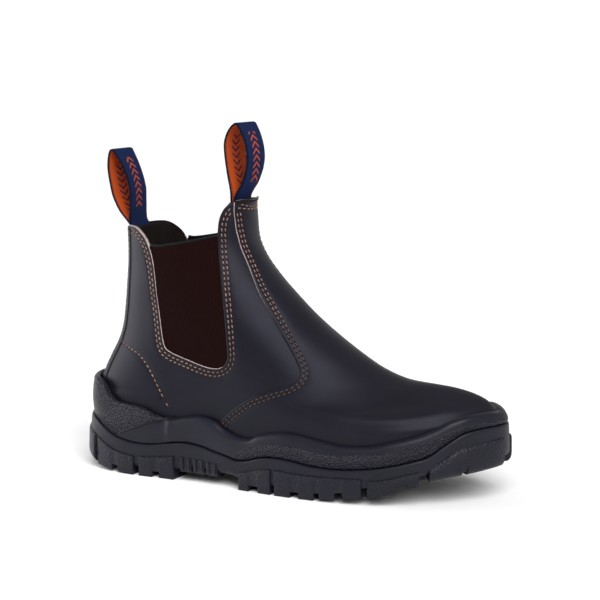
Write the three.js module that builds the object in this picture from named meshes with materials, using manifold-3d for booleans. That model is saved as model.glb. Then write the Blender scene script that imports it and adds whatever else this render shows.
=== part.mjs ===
import * as THREE from 'three';
import { mergeVertices } from 'three/addons/utils/BufferGeometryUtils.js';
import Module from 'manifold-3d';

const wasm = await Module();
wasm.setup();

// Side gore work boot, right foot: +X to the toe, +Y to the inner side, +Z up, millimetres.

// Sole
const SOLE_LENGTH = 310;
const BALL_WIDTH = 112;
const HEEL_WIDTH = 84;
const HEEL_SEAT = 26;
const FOREFOOT_BED = 14.5;
const TOE_SPRING = 21.7;
const GROOVE_HEIGHT = 22.8;
const RIM_HEIGHT = 43;
const LUG_DEPTH = 5.5;
const TRAY_WALL = 4.5;
const TRAY_FLOOR = 5;
const LUG_PROUD = 1.2;
const EDGE_LUG_DEPTH = 19;
const LUG_SIDE_HEIGHT = 13.5;
const NOTCH_HEIGHT = 4.2;
const HEEL_FLARE = 1.3;
const FOOT_TUCK = 4.2;
const WALL_UNDER = 8;
const RIB_WIDTH = 4;
const FEATHER_INSET = 8.2;

// Upper
const SHAFT_HEIGHT = 171;
const TOE_HEIGHT = 73;
const SHAFT_LENGTH = 96;
const SHAFT_WIDTH = 58;
const UPPER_WALL = 2.4;
const VAMP_STEP = 1.1;
const GORE_WALL = 1.5;
const GORE_SINK = 0.5;
const BACKSTAY_WALL = 1;
const BACKSTAY_WIDTH = 7;
const INSOLE_WALL = 4.5;
const FIT_GAP = 0.3;

// Pull loops
const WEB_WIDTH = 25;
const WEB_WALL = 1.6;
const FRONT_LOOP_RISE = 50;
const REAR_LOOP_RISE = 52;
const TAIL_LENGTH = 26;
const LOOP_TURN = 0.12;

// Mesh steps
const SOLE_STEPS = 24;
const UPPER_STEPS = 17;
const UPPER_RINGS = 17;

// Plan outline: share of the length, outer and inner half width as shares of the local width
const OUTLINE = [
  [0, 0, 0], [0.01, 0.183, 0.193], [0.03, 0.323, 0.337], [0.06, 0.421, 0.418],
  [0.11, 0.487, 0.470], [0.18, 0.515, 0.481], [0.26, 0.518, 0.459], [0.35, 0.502, 0.401],
  [0.45, 0.496, 0.385], [0.55, 0.498, 0.423], [0.64, 0.513, 0.471], [0.70, 0.513, 0.486],
  [0.76, 0.492, 0.477], [0.82, 0.448, 0.444], [0.88, 0.370, 0.384], [0.93, 0.275, 0.302],
  [0.97, 0.153, 0.205], [0.99, 0.067, 0.130], [1, -0.045, 0.045],
];

// Tread line: share of the length, share of the toe spring
const TREAD = [
  [0, 0.3], [0.03, 0.2], [0.06, 0.11], [0.1, 0.04], [0.14, 0.004], [0.17, 0], [0.22, 0],
  [0.55, 0], [0.59, 0.004],
  [0.66, 0.1], [0.76, 0.31], [0.81, 0.47], [0.85, 0.67], [0.90, 0.85], [0.95, 0.95], [1, 1.06],
];

// Bed of the cup: share of the length, share of heel seat, share of forefoot bed, share of spring
const BED = [
  [0, 1.04, 0, 0], [0.1, 1.02, 0, 0], [0.19, 0.99, 0, 0], [0.29, 0.9, 0, 0],
  [0.39, 0.72, 0, 0], [0.46, 0.4, 0.38, 0], [0.52, 0.12, 0.82, 0], [0.59, 0, 1, 0],
  [0.66, 0, 1, 0.1], [0.76, 0, 1, 0.31], [0.83, 0, 1, 0.55], [0.87, 0, 1, 0.72],
  [0.94, 0, 1, 0.93], [1, 0, 1, 1.05],
];

// Groove between midsole and outsole: share of the length, share of the groove height
const GROOVE = [
  [0, 1.66], [0.025, 1.62], [0.042, 1.57], [0.077, 1.35], [0.11, 1.13], [0.14, 1.03], [0.17, 0.98],
  [0.213, 1], [0.26, 1.1], [0.3, 1.16], [0.342, 1.1], [0.37, 1.01], [0.406, 0.92], [0.432, 0.85],
  [0.46, 0.9], [0.49, 1.03], [0.525, 1.09], [0.565, 1.07], [0.613, 0.99], [0.665, 0.97],
  [0.7, 0.99], [0.755, 1.07], [0.806, 1.2], [0.845, 1.34], [0.868, 1.44], [0.89, 1.66],
  [0.913, 1.9], [0.935, 2.09], [0.968, 2.18], [1, 2.2],
];

// Top rim of the midsole: share of the length, share of the rim height
const RIM = [
  [0, 1.5], [0.03, 1.5], [0.055, 1.48], [0.077, 1.4], [0.094, 1.26], [0.113, 1.17],
  [0.142, 1.145], [0.187, 1.1], [0.22, 1.01], [0.242, 0.98], [0.27, 0.99], [0.3, 1.04],
  [0.335, 1.067], [0.37, 1.01], [0.397, 0.9], [0.432, 0.825], [0.465, 0.83], [0.484, 0.9],
  [0.516, 0.955], [0.548, 0.99], [0.587, 0.975], [0.64, 0.92], [0.694, 0.885], [0.75, 0.91],
  [0.803, 1], [0.852, 1.095], [0.887, 1.205], [0.91, 1.3], [0.94, 1.355], [0.965, 1.345], [0.985, 1.31],
  [1, 1.27],
];

// Sections of the upper above the rim. Back x and front x as shares of the sole length, back
// height as a share of the shaft height, front height (below 1 a share of the toe height,
// above 1 the rest is a share of the rise to the shaft height), dip before the front and
// follow of the bed, outer and inner half width as shares of the ball width, roundness from
// the sole's outline (0) to an oval (1), exponent of the oval.
const SECTIONS = [
  [0.0265, 0.9735, 0.33, 0.78, 0.02, 0.55, 1, 1, 0, 2.0],
  [0.034, 0.952, 0.385, 0.868, 0.06, 0.45, 0.98, 0.97, 0.06, 2.0],
  [0.052, 0.917, 0.455, 0.925, 0.12, 0.36, 0.93, 0.93, 0.16, 2.0],
  [0.068, 0.874, 0.51, 0.962, 0.17, 0.28, 0.87, 0.88, 0.28, 2.0],
  [0.078, 0.826, 0.556, 0.978, 0.17, 0.2, 0.82, 0.83, 0.42, 2.0],
  [0.084, 0.772, 0.602, 0.995, 0.12, 0.12, 0.77, 0.78, 0.56, 2.0],
  [0.087, 0.714, 0.648, 1.05, 0.06, 0.06, 0.73, 0.73, 0.7, 2.0],
  [0.0895, 0.659, 0.694, 1.145, 0.02, 0.02, 0.695, 0.69, 0.82, 2.0],
  [0.092, 0.606, 0.742, 1.255, 0, 0, 0.665, 0.66, 0.92, 2.05],
  [0.0945, 0.555, 0.794, 1.38, 0, 0, 0.64, 0.63, 1, 2.1],
  [0.097, 0.507, 0.85, 1.52, 0, 0, 0.61, 0.6, 1, 2.15],
  [0.0985, 0.463, 0.91, 1.655, 0, 0, 0.58, 0.57, 1, 2.2],
  [0.0995, 0.4275, 0.97, 1.79, 0, 0, 0.555, 0.545, 1, 2.25],
  [0.1, 0.407, 1.03, 1.92, 0, 0, 0.533, 0.528, 1, 2.3],
  [0.1, 0.4015, 1.095, 2.06, 0, 0, 0.518, 0.516, 1, 2.3],
  [0.1, 0.3995, 1.165, 2.2, 0, 0, 0.511, 0.51, 1, 2.3],
  [0.1, 0.3995, 1.24, 2.35, 0, 0, 0.509, 0.509, 1, 2.3],
];

// Collar line in side view: share of the sole length, share of the shaft height
const COLLAR = [
  [0.085, 1.0], [0.113, 1.004], [0.135, 1.006], [0.15, 1.001], [0.165, 0.985], [0.18, 0.963],
  [0.196, 0.938], [0.21, 0.936], [0.25, 0.947], [0.3, 0.965], [0.352, 0.986], [0.3545, 1.02],
  [0.355, 1.06], [0.358, 1.085], [0.364, 1.104], [0.374, 1.116], [0.386, 1.122], [0.41, 1.13],
];

// Window of the gore in side view: share of the sole length, share of the shaft height
const GORE = [
  [0.19, 1.3], [0.194, 0.96], [0.201, 0.88], [0.209, 0.8], [0.2155, 0.7], [0.221, 0.62],
  [0.226, 0.56], [0.234, 0.524], [0.25, 0.513], [0.275, 0.505], [0.3, 0.487], [0.325, 0.47],
  [0.35, 0.463], [0.37, 0.468], [0.384, 0.483], [0.391, 0.508], [0.3925, 0.53], [0.391, 0.58],
  [0.388, 0.64], [0.382, 0.72], [0.375, 0.8], [0.367, 0.87], [0.36, 0.93], [0.3535, 0.99],
  [0.353, 1.3],
];

// Edge of the vamp in side view: share of the sole length, share of the shaft height
const VAMP = [
  [0.384, 1.4], [0.384, 1.12], [0.388, 1.06], [0.395, 1.0], [0.406, 0.92], [0.431, 0.828],
  [0.478, 0.707], [0.524, 0.62], [0.561, 0.545], [0.577, 0.5], [0.58, 0.477], [0.573, 0.452],
  [0.548, 0.428], [0.505, 0.398], [0.462, 0.364], [0.428, 0.325], [0.4, 0.285], [0.378, 0.24],
  [0.36, 0.19], [0.36, 0],
];

// Pull loops in side view. Front: distance from the front of the collar as a share of the
// shaft length and rise above the front of the collar as a share of the loop's rise, along
// the strands; the last column is how far the strand bends round the collar.
const FRONT_LOOP = [
  [-0.02, -0.5, 1], [-0.02, -0.25, 1], [-0.015, 0, 1], [0.005, 0.1, 0.85],
  [0.03, 0.2, 0.6], [0.047, 0.35, 0.25], [0.053, 0.46, 0.08], [0.054, 0.56, 0],
  [0.046, 0.7, 0], [0.024, 0.84, 0], [-0.005, 0.955, 0], [-0.025, 1.01, 0], [-0.048, 1.0, 0],
  [-0.078, 0.93, 0], [-0.1, 0.84, 0], [-0.112, 0.73, 0], [-0.109, 0.6, 0],
  [-0.095, 0.42, 0.08], [-0.077, 0.27, 0.3], [-0.06, 0.14, 0.65], [-0.046, 0.02, 0.95],
  [-0.043, -0.2, 1], [-0.043, -0.45, 1],
];
const REAR_LOOP = [
  [0.033, -0.5, 1], [0.033, -0.25, 1], [0.033, 0, 1], [0.033, 0.05, 0.6], [0.029, 0.11, 0.2],
  [0.028, 0.18, 0], [0.031, 0.26, 0], [0.029, 0.36, 0], [0.023, 0.48, 0], [-0.008, 0.66, 0],
  [-0.045, 0.82, 0], [-0.088, 0.95, 0], [-0.12, 1.01, 0], [-0.15, 1.0, 0], [-0.167, 0.9, 0],
  [-0.17, 0.74, 0], [-0.158, 0.57, 0], [-0.131, 0.4, 0], [-0.08, 0.26, 0], [-0.03, 0.155, 0.1],
  [0.003, 0.09, 0.5], [0.0128, 0.03, 0.97], [0.0132, -0.2, 1], [0.0132, -0.45, 1],
];

// Lugs along each edge: start and end as shares of the sole length, and what is cut from
// the foot of the lug as a share of the notch height
const EDGE_LUGS = [
  [0.0565, 0.108, 0], [0.106, 0.125, 1], [0.123, 0.166, 0], [0.181, 0.216, 0],
  [0.214, 0.235, 1], [0.233, 0.27, 0], [0.441, 0.467, 0], [0.465, 0.492, 1],
  [0.49, 0.521, 0], [0.532, 0.57, 0], [0.568, 0.592, 1], [0.59, 0.628, 0],
  [0.626, 0.641, 1], [0.639, 0.676, 0], [0.674, 0.695, 1], [0.693, 0.734, 0],
  [0.748, 0.808, 0], [0.806, 0.83, 1], [0.828, 0.852, 0],
];

// Height of the lugs' sides above the tread: share of the length, share of the side height
const LUG_TOPS = [
  [0, 1.6], [0.046, 1.55], [0.071, 1.37], [0.1, 1.16], [0.136, 1.04], [0.165, 1], [0.22, 1.07],
  [0.27, 1.21], [0.3, 1.2], [0.38, 1.1], [0.442, 0.9], [0.474, 1.08], [0.505, 1.25],
  [0.56, 1.25], [0.65, 1.1], [0.72, 0.95], [0.76, 0.76], [0.822, 0.74], [0.853, 0.66],
  [0.875, 0.7], [0.891, 0.88], [0.907, 1.1], [0.9235, 1.28], [0.9426, 1.39], [1, 1.4],
];

// Inner lugs of heel and forefoot in plan: corners as shares of the length and ball width
const PLAN_LUGS = [
  [[0.075, -0.13], [0.16, -0.15], [0.16, 0.15], [0.075, 0.13]],
  [[0.18, -0.15], [0.25, -0.16], [0.25, 0.14], [0.18, 0.15]],
  [[0.45, -0.24], [0.5, -0.25], [0.53, -0.04], [0.48, -0.02]],
  [[0.475, 0.02], [0.525, 0], [0.5, 0.17], [0.46, 0.14]],
  [[0.525, -0.27], [0.58, -0.29], [0.61, -0.04], [0.555, -0.03]],
  [[0.55, 0.01], [0.605, 0], [0.575, 0.22], [0.52, 0.2]],
  [[0.605, -0.3], [0.66, -0.3], [0.69, -0.04], [0.635, -0.03]],
  [[0.63, 0.01], [0.685, 0], [0.655, 0.26], [0.6, 0.24]],
  [[0.69, -0.3], [0.745, -0.28], [0.77, -0.03], [0.715, -0.03]],
  [[0.71, 0.01], [0.765, 0.01], [0.745, 0.27], [0.69, 0.27]],
  [[0.78, -0.26], [0.84, -0.22], [0.86, -0.03], [0.8, -0.03]],
  [[0.795, 0.02], [0.855, 0.02], [0.84, 0.23], [0.775, 0.26]],
];

// Toe lugs: start, end and foot cut as above
const TOE_LUGS = [[0.872, 0.932, 0], [0.928, 0.944, 0.5], [0.94, 0.995, 0]];

// Shank ribs: centre as a share of the length
const SHANK_RIBS = [0.292, 0.309, 0.326, 0.343, 0.36, 0.377];

function smooth(table, at, column = 1) {
  const last = table.length - 1;
  if (at <= table[0][0]) {
    return table[0][column];
  }
  if (at >= table[last][0]) {
    return table[last][column];
  }
  let i = 0;
  while (table[i + 1][0] < at) {
    i += 1;
  }
  const slope = (k) => {
    const a = Math.max(k - 1, 0);
    const b = Math.min(k + 1, last);
    return (table[b][column] - table[a][column]) / (table[b][0] - table[a][0]);
  };
  const h = table[i + 1][0] - table[i][0];
  const t = (at - table[i][0]) / h;
  const t2 = t * t;
  const t3 = t2 * t;
  return table[i][column] * (2 * t3 - 3 * t2 + 1) + slope(i) * h * (t3 - 2 * t2 + t)
    + table[i + 1][column] * (3 * t2 - 2 * t3) + slope(i + 1) * h * (t3 - t2);
}

function easeStep(a, b, x) {
  const t = Math.min(Math.max((x - a) / (b - a), 0), 1);
  return t * t * (3 - 2 * t);
}

// Heights along the sole
const tread = (x) => TOE_SPRING * smooth(TREAD, x / SOLE_LENGTH);
const groove = (x) => GROOVE_HEIGHT * smooth(GROOVE, x / SOLE_LENGTH);
const rim = (x) => RIM_HEIGHT * smooth(RIM, x / SOLE_LENGTH);
const base = (x) => {
  const s = x / SOLE_LENGTH;
  const shank = easeStep(0.25, 0.3, s) * (1 - easeStep(0.41, 0.46, s));
  return tread(x) + LUG_DEPTH + shank * 3.5;
};
const bed = (x) => {
  const s = x / SOLE_LENGTH;
  return HEEL_SEAT * smooth(BED, s, 1) + FOREFOOT_BED * smooth(BED, s, 2)
    + TOE_SPRING * smooth(BED, s, 3);
};
const trayBed = (x) => bed(x) - TRAY_FLOOR;

// Outline: table read over the angle so that both ends come out round
const OUTLINE_BY_ANGLE = OUTLINE.map((row) => [Math.acos(1 - 2 * row[0]), row[1], row[2]]);
function outlineAt(angle, side) {
  const s = (1 - Math.cos(angle)) / 2;
  const width = HEEL_WIDTH + (BALL_WIDTH - HEEL_WIDTH) * easeStep(0.22, 0.58, s);
  const y = width * smooth(OUTLINE_BY_ANGLE, angle, side < 0 ? 1 : 2);
  return [s * SOLE_LENGTH, side * y];
}

// Closed ring of plan points, counter-clockwise from above: outer side out, inner side back
function outlineRing(steps, inset) {
  const points = [];
  for (let j = 0; j <= steps; j += 1) {
    points.push(outlineAt((Math.PI * j) / steps, -1));
  }
  for (let j = steps - 1; j > 0; j -= 1) {
    points.push(outlineAt((Math.PI * j) / steps, 1));
  }
  const n = points.length;
  return points.map((p, k) => {
    const a = points[(k + n - 1) % n];
    const b = points[(k + 1) % n];
    const l = Math.hypot(b[0] - a[0], b[1] - a[1]);
    const d = typeof inset === 'function' ? inset(p[0]) : inset;
    return [p[0] - (d * (b[1] - a[1])) / l, p[1] + (d * (b[0] - a[0])) / l, p[0]];
  });
}

function ring3(steps, inset, height) {
  return outlineRing(steps, inset).map((p) => [p[0], p[1], height(p[2])]);
}

// Solids from rings: caps are strips between the two sides
function ringSolid(rings, closed = false) {
  const n = rings[0].length;
  const half = n / 2;
  const positions = rings.flat(2);
  const index = [];
  const last = closed ? rings.length : rings.length - 1;
  for (let i = 0; i < last; i += 1) {
    const lo = i * n;
    const hi = ((i + 1) % rings.length) * n;
    for (let k = 0; k < n; k += 1) {
      const m = (k + 1) % n;
      index.push(lo + k, lo + m, hi + m, lo + k, hi + m, hi + k);
    }
  }
  if (!closed) {
    const top = (rings.length - 1) * n;
    for (let j = 0; j < half; j += 1) {
      const a = j;
      const b = j + 1;
      const c = (n - j - 1) % n;
      const d = (n - j) % n;
      if (b !== c) {
        index.push(a, c, b, top + a, top + b, top + c);
      }
      if (a !== d) {
        index.push(a, d, c, top + a, top + c, top + d);
      }
    }
  }
  return solidOf(positions, index);
}

function solidOf(positions, index) {
  return new wasm.Manifold(new wasm.Mesh({
    numProp: 3,
    vertProperties: new Float32Array(positions),
    triVerts: new Uint32Array(index),
  }));
}

function solidFromGeometry(geometry) {
  geometry.deleteAttribute('normal');
  geometry.deleteAttribute('uv');
  const merged = mergeVertices(geometry, 1e-3);
  return solidOf(merged.attributes.position.array, merged.index.array);
}

function joined(solids) {
  return solids.slice(1).reduce((a, b) => a.add(b), solids[0]);
}

// Prism across the boot from a side view outline
function sidePrism(points, from = -120, to = 120) {
  const shape = new THREE.Shape(points.map((p) => new THREE.Vector2(p[0], p[1])));
  const geometry = new THREE.ExtrudeGeometry(shape, { depth: to - from, bevelEnabled: false });
  geometry.rotateX(Math.PI / 2);
  geometry.translate(0, to, 0);
  return solidFromGeometry(geometry);
}

// Prism from a plan outline between two heights that follow the length
function planPrism(points, low, high) {
  const shape = new THREE.Shape(points.map((p) => new THREE.Vector2(p[0], p[1])));
  const geometry = new THREE.ExtrudeGeometry(shape, { depth: 1, bevelEnabled: false });
  const p = geometry.attributes.position;
  for (let i = 0; i < p.count; i += 1) {
    p.setZ(i, p.getZ(i) < 0.5 ? low(p.getX(i)) : high(p.getX(i)));
  }
  return solidFromGeometry(geometry);
}

const sideView = (table) => table.map((p) => [p[0] * SOLE_LENGTH, p[1] * SHAFT_HEIGHT]);

// Outline moved along its own normals, inward for a positive distance
function shifted(points, distance) {
  const n = points.length;
  let area = 0;
  points.forEach((p, i) => {
    const q = points[(i + 1) % n];
    area += p[0] * q[1] - q[0] * p[1];
  });
  const turn = area > 0 ? 1 : -1;
  return points.map((p, i) => {
    const a = points[(i + n - 1) % n];
    const b = points[(i + 1) % n];
    const u = [p[0] - a[0], p[1] - a[1]];
    const v = [b[0] - p[0], b[1] - p[1]];
    const lu = Math.hypot(u[0], u[1]);
    const lv = Math.hypot(v[0], v[1]);
    const m = [-(u[1] / lu + v[1] / lv), u[0] / lu + v[0] / lv];
    const lm = Math.hypot(m[0], m[1]);
    const cos = Math.max(lm / 2, 0.5);
    return [p[0] + (turn * distance * m[0]) / lm / cos, p[1] + (turn * distance * m[1]) / lm / cos];
  });
}

// Surface of the upper: sections below the rim follow the sole's outline, the rest the table
const FEATHER_RINGS = [[0, FOOT_TUCK, 0], [0.1, 1.6, 0.16], [0.3, 0.3, 0.42], [0.6, 0, 0.75]];
const TABLE_START = 0.19;
const centreLine = (s) => outlineAt(Math.PI, 1)[1] * s * s;

function plainProfile(angle, side) {
  const steps = 180;
  const ring = plainProfile.ring || (plainProfile.ring = outlineRing(steps, FEATHER_INSET));
  const k = (angle / Math.PI) * steps;
  const i = Math.min(Math.floor(k), steps - 1);
  const f = k - i;
  const at = (q) => ring[side < 0 ? q : (2 * steps - q) % (2 * steps)];
  const y = at(i)[1] * (1 - f) + at(i + 1)[1] * f;
  return Math.max(side * (y - centreLine((1 - Math.cos(angle)) / 2)), 0);
}

function section(v) {
  const at = ((v - TABLE_START) / (1 - TABLE_START)) * (SECTIONS.length - 1);
  const rows = SECTIONS.map((row, i) => [i, ...row]);
  const get = (column) => smooth(rows, at, column + 1);
  const front = get(3);
  return {
    back: get(0) * SOLE_LENGTH,
    front: get(1) * SOLE_LENGTH,
    backHeight: get(2) * SHAFT_HEIGHT,
    frontHeight: TOE_HEIGHT * Math.min(front, 1)
      + (SHAFT_HEIGHT - TOE_HEIGHT) * Math.max(front - 1, 0),
    dip: get(4) * TOE_HEIGHT,
    follow: get(5),
    outer: get(6),
    inner: get(7),
    oval: get(8),
    power: get(9),
  };
}

function upperPoint(v, angle, side) {
  const s = (1 - Math.cos(angle)) / 2;
  const c = section(Math.max(v, TABLE_START));
  const length = c.front - c.back;
  // the shaft keeps its own length above the instep
  const stretch = (SHAFT_LENGTH / 96 - 1) * easeStep(0.5, 0.8, v);
  const x = c.back + s * length * (1 + stretch);
  const level = TABLE_START;
  const chord = bed(c.back) * (1 - s) + bed(c.front) * s;
  const bump = 9.48 * s * s * s * (1 - s);
  const z = c.backHeight * (1 - s) + c.frontHeight * s
    + (bed(x) - chord) * c.follow - c.dip * bump;
  const plain = plainProfile(angle, side);
  const oval = (1 - Math.abs(2 * s - 1) ** c.power) ** (1 / c.power);
  const share = side < 0 ? c.outer : c.inner;
  const half = plain * share * (1 - c.oval) + oval * SHAFT_WIDTH * share * c.oval;
  const lean = centreLine(s) * (1 - easeStep(level, 0.75, v));
  return [x, lean + side * half, z];
}

function upperRing(v, steps) {
  if (v < TABLE_START) {
    const k = v / TABLE_START;
    const inset = FEATHER_INSET + smooth(FEATHER_RINGS, k * 0.6, 1);
    const top = [];
    for (let j = 0; j < 2 * steps; j += 1) {
      const side = j <= steps ? -1 : 1;
      top.push(upperPoint(TABLE_START, (Math.PI * (j <= steps ? j : 2 * steps - j)) / steps, side));
    }
    return outlineRing(steps, inset).map((p, j) => {
      const low = bed(p[2]) + FIT_GAP;
      return [p[0], p[1], low + (top[j][2] - low) * k];
    });
  }
  const ring = [];
  for (let j = 0; j < 2 * steps; j += 1) {
    const side = j <= steps ? -1 : 1;
    ring.push(upperPoint(v, (Math.PI * (j <= steps ? j : 2 * steps - j)) / steps, side));
  }
  return ring;
}

const LEVELS = [0, 0.04, 0.09, 0.14, 0.19];
for (let i = 1; i <= UPPER_RINGS - 5; i += 1) {
  LEVELS.push(TABLE_START + ((1 - TABLE_START) * i) / (UPPER_RINGS - 5));
}
const OUTER_RINGS = LEVELS.map((v) => upperRing(v, UPPER_STEPS));

// The same grid moved along its normals
function movedRings(rings, distance) {
  const n = rings[0].length;
  return rings.map((ring, i) => ring.map((p, k) => {
    const a = new THREE.Vector3(...ring[(k + n - 1) % n]);
    const b = new THREE.Vector3(...ring[(k + 1) % n]);
    const c = new THREE.Vector3(...rings[Math.max(i - 1, 0)][k]);
    const d = new THREE.Vector3(...rings[Math.min(i + 1, rings.length - 1)][k]);
    const normal = b.sub(a).cross(d.sub(c)).normalize();
    return [p[0] + normal.x * distance, p[1] + normal.y * distance, p[2] + normal.z * distance];
  }));
}

function shell(outerBy, innerBy) {
  const outer = movedRings(OUTER_RINGS, outerBy);
  const inner = movedRings(OUTER_RINGS, innerBy);
  return ringSolid([...outer, ...inner.reverse()], true);
}

// Outsole
const lugTop = (x) => Math.min(tread(x) + LUG_SIDE_HEIGHT * smooth(LUG_TOPS, x / SOLE_LENGTH), groove(x) - 3);

function edgeLug(side, from, to, cut, insetShare, depth) {
  const stations = Math.max(2, Math.ceil((to - from) / 0.035) + 1);
  const rows = [];
  for (let i = 0; i < stations; i += 1) {
    const s = from + ((to - from) * i) / (stations - 1);
    const angle = Math.acos(1 - 2 * s);
    const p = outlineAt(angle, side);
    const q = outlineAt(Math.min(angle + 0.004, Math.PI), side);
    const r = outlineAt(Math.max(angle - 0.004, 0), side);
    const l = Math.hypot(q[0] - r[0], q[1] - r[1]);
    const nx = (-side * (q[1] - r[1])) / l;
    const ny = (side * (q[0] - r[0])) / l;
    const low = tread(p[0]) + cut * NOTCH_HEIGHT;
    const top = lugTop(p[0]);
    const out = insetShare * LUG_PROUD;
    const at = (inset, z) => [p[0] - nx * inset, p[1] - ny * inset, z];
    rows.push([
      at(LUG_PROUD + 3, top + 0.8), at(out, top - 0.6),
      at(out + 0.4, low), at(depth, low), at(depth + 0.8, base(p[0]) + 1.4),
      at(LUG_PROUD + 3, base(p[0]) + 1.4),
    ]);
  }
  return prismRows(rows, side);
}

// Solid through equal cross sections, ends closed by fans
function prismRows(rows, side) {
  const n = rows[0].length;
  const positions = rows.flat(2);
  const index = [];
  const face = (a, b, c) => {
    if (side < 0) {
      index.push(a, b, c);
    } else {
      index.push(a, c, b);
    }
  };
  for (let i = 0; i < rows.length - 1; i += 1) {
    for (let k = 0; k < n; k += 1) {
      const m = (k + 1) % n;
      face(i * n + k, i * n + m, (i + 1) * n + m);
      face(i * n + k, (i + 1) * n + m, (i + 1) * n + k);
    }
  }
  const last = (rows.length - 1) * n;
  const corners = rows[0].map((p) => new THREE.Vector2(p[1] * -side, p[2]));
  const ends = rows[rows.length - 1].map((p) => new THREE.Vector2(p[1] * -side, p[2]));
  THREE.ShapeUtils.triangulateShape(corners, []).forEach((t) => face(t[0], t[2], t[1]));
  THREE.ShapeUtils.triangulateShape(ends, []).forEach((t) => face(last + t[0], last + t[1], last + t[2]));
  let solid = solidOf(positions, index);
  if (solid.volume() < 0) {
    const flipped = [];
    for (let i = 0; i < index.length; i += 3) {
      flipped.push(index[i], index[i + 2], index[i + 1]);
    }
    solid = solidOf(positions, flipped);
  }
  return solid;
}

// Lug that turns round the heel or the toe, between two angles along the outline
function endLug(from, to, cut, proud, depth) {
  const steps = Math.max(2, Math.round(Math.abs(to - from) / 0.12));
  const edge = (angle) => outlineAt(Math.abs(angle), angle < 0 ? -1 : 1);
  const turn = Math.sign(from + to) || 1;
  const rows = [];
  for (let i = 0; i <= steps; i += 1) {
    const angle = from + ((to - from) * i) / steps;
    const p = edge(angle);
    const q = edge(angle + 0.01 * turn);
    const r = edge(angle - 0.01 * turn);
    const l = Math.hypot(q[0] - r[0], q[1] - r[1]);
    const nx = (-turn * (q[1] - r[1])) / l;
    const ny = (turn * (q[0] - r[0])) / l;
    const low = tread(p[0]) + cut * NOTCH_HEIGHT;
    const top = lugTop(p[0]);
    const at = (inset, z) => [p[0] - nx * inset, p[1] - ny * inset, z];
    rows.push([
      at(LUG_PROUD + 3, top), at(0.8 - proud * 0.5, top),
      at(-proud, top - 2.5), at(-proud, low + 3), at(1.8 - proud, low + 0.3),
      at(depth, low), at(depth + 0.5, base(p[0]) + 0.6),
      at(LUG_PROUD + 3, base(p[0]) + 1.5),
    ]);
  }
  return rowsByAngle(rows);
}

function rowsByAngle(rows) {
  const n = rows[0].length;
  const positions = rows.flat(2);
  const index = [];
  for (let i = 0; i < rows.length - 1; i += 1) {
    for (let k = 0; k < n; k += 1) {
      const m = (k + 1) % n;
      index.push(i * n + k, i * n + m, (i + 1) * n + m, i * n + k, (i + 1) * n + m, (i + 1) * n + k);
    }
  }
  const last = (rows.length - 1) * n;
  const flat = (row) => row.map((p) => {
    const o = row[0];
    return new THREE.Vector2(Math.hypot(p[0] - o[0], p[1] - o[1])
      * Math.sign((p[0] - o[0]) * (row[5][0] - o[0]) + (p[1] - o[1]) * (row[5][1] - o[1]) || 1), p[2]);
  });
  THREE.ShapeUtils.triangulateShape(flat(rows[0]), []).forEach((t) => index.push(t[0], t[2], t[1]));
  THREE.ShapeUtils.triangulateShape(flat(rows[rows.length - 1]), []).forEach((t) => {
    index.push(last + t[0], last + t[1], last + t[2]);
  });
  let solid = solidOf(positions, index);
  if (solid.volume() < 0) {
    const flipped = [];
    for (let i = 0; i < index.length; i += 3) {
      flipped.push(index[i], index[i + 2], index[i + 1]);
    }
    solid = solidOf(positions, flipped);
  }
  return solid;
}

const wallInset = LUG_PROUD;
const flare = (x) => HEEL_FLARE * (1 - easeStep(0, 0.1, x / SOLE_LENGTH));
const tray = ringSolid([
  ring3(SOLE_STEPS, wallInset + 2.5, (x) => base(x)),
  ring3(SOLE_STEPS, (x) => wallInset + 0.4 - flare(x), (x) => base(x) + 1.8),
  ring3(SOLE_STEPS, (x) => wallInset - flare(x) * 0.5, (x) => base(x) * 0.4 + groove(x) * 0.6),
  ring3(SOLE_STEPS, wallInset + 0.1, (x) => groove(x) - 1.6),
  ring3(SOLE_STEPS, wallInset + 1.6, (x) => groove(x)),
  ring3(SOLE_STEPS, wallInset + TRAY_WALL, (x) => groove(x)),
  ring3(SOLE_STEPS, wallInset + TRAY_WALL + 0.6, (x) => trayBed(x)),
]);

const lugs = [];
[-1, 1].forEach((side) => {
  EDGE_LUGS.forEach((l) => lugs.push(edgeLug(side, l[0], l[1], l[2], 0, EDGE_LUG_DEPTH)));
  TOE_LUGS.forEach((l) => {
    const ends = [l[0], l[1]].map((share) => side * Math.acos(1 - 2 * share));
    lugs.push(endLug(ends[0], ends[1], l[2], 0, EDGE_LUG_DEPTH - 2));
  });
});
const heelTurn = Math.acos(1 - 2 * 0.0485);
lugs.push(endLug(-heelTurn, heelTurn, 0, HEEL_FLARE, EDGE_LUG_DEPTH / 2));
PLAN_LUGS.forEach((l) => {
  const points = l.map((p) => [p[0] * SOLE_LENGTH, p[1] * BALL_WIDTH]);
  lugs.push(planPrism(points, tread, (x) => base(x) + 0.8));
});
const ribs = SHANK_RIBS.flatMap((s) => [-1, 1].map((side) => {
  const half = RIB_WIDTH / 2 / SOLE_LENGTH;
  return edgeLug(side, s - half, s + half, 0, 0.35, 12);
}));
const outsoleSolid = joined([tray, ...lugs, ...ribs]);

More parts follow.
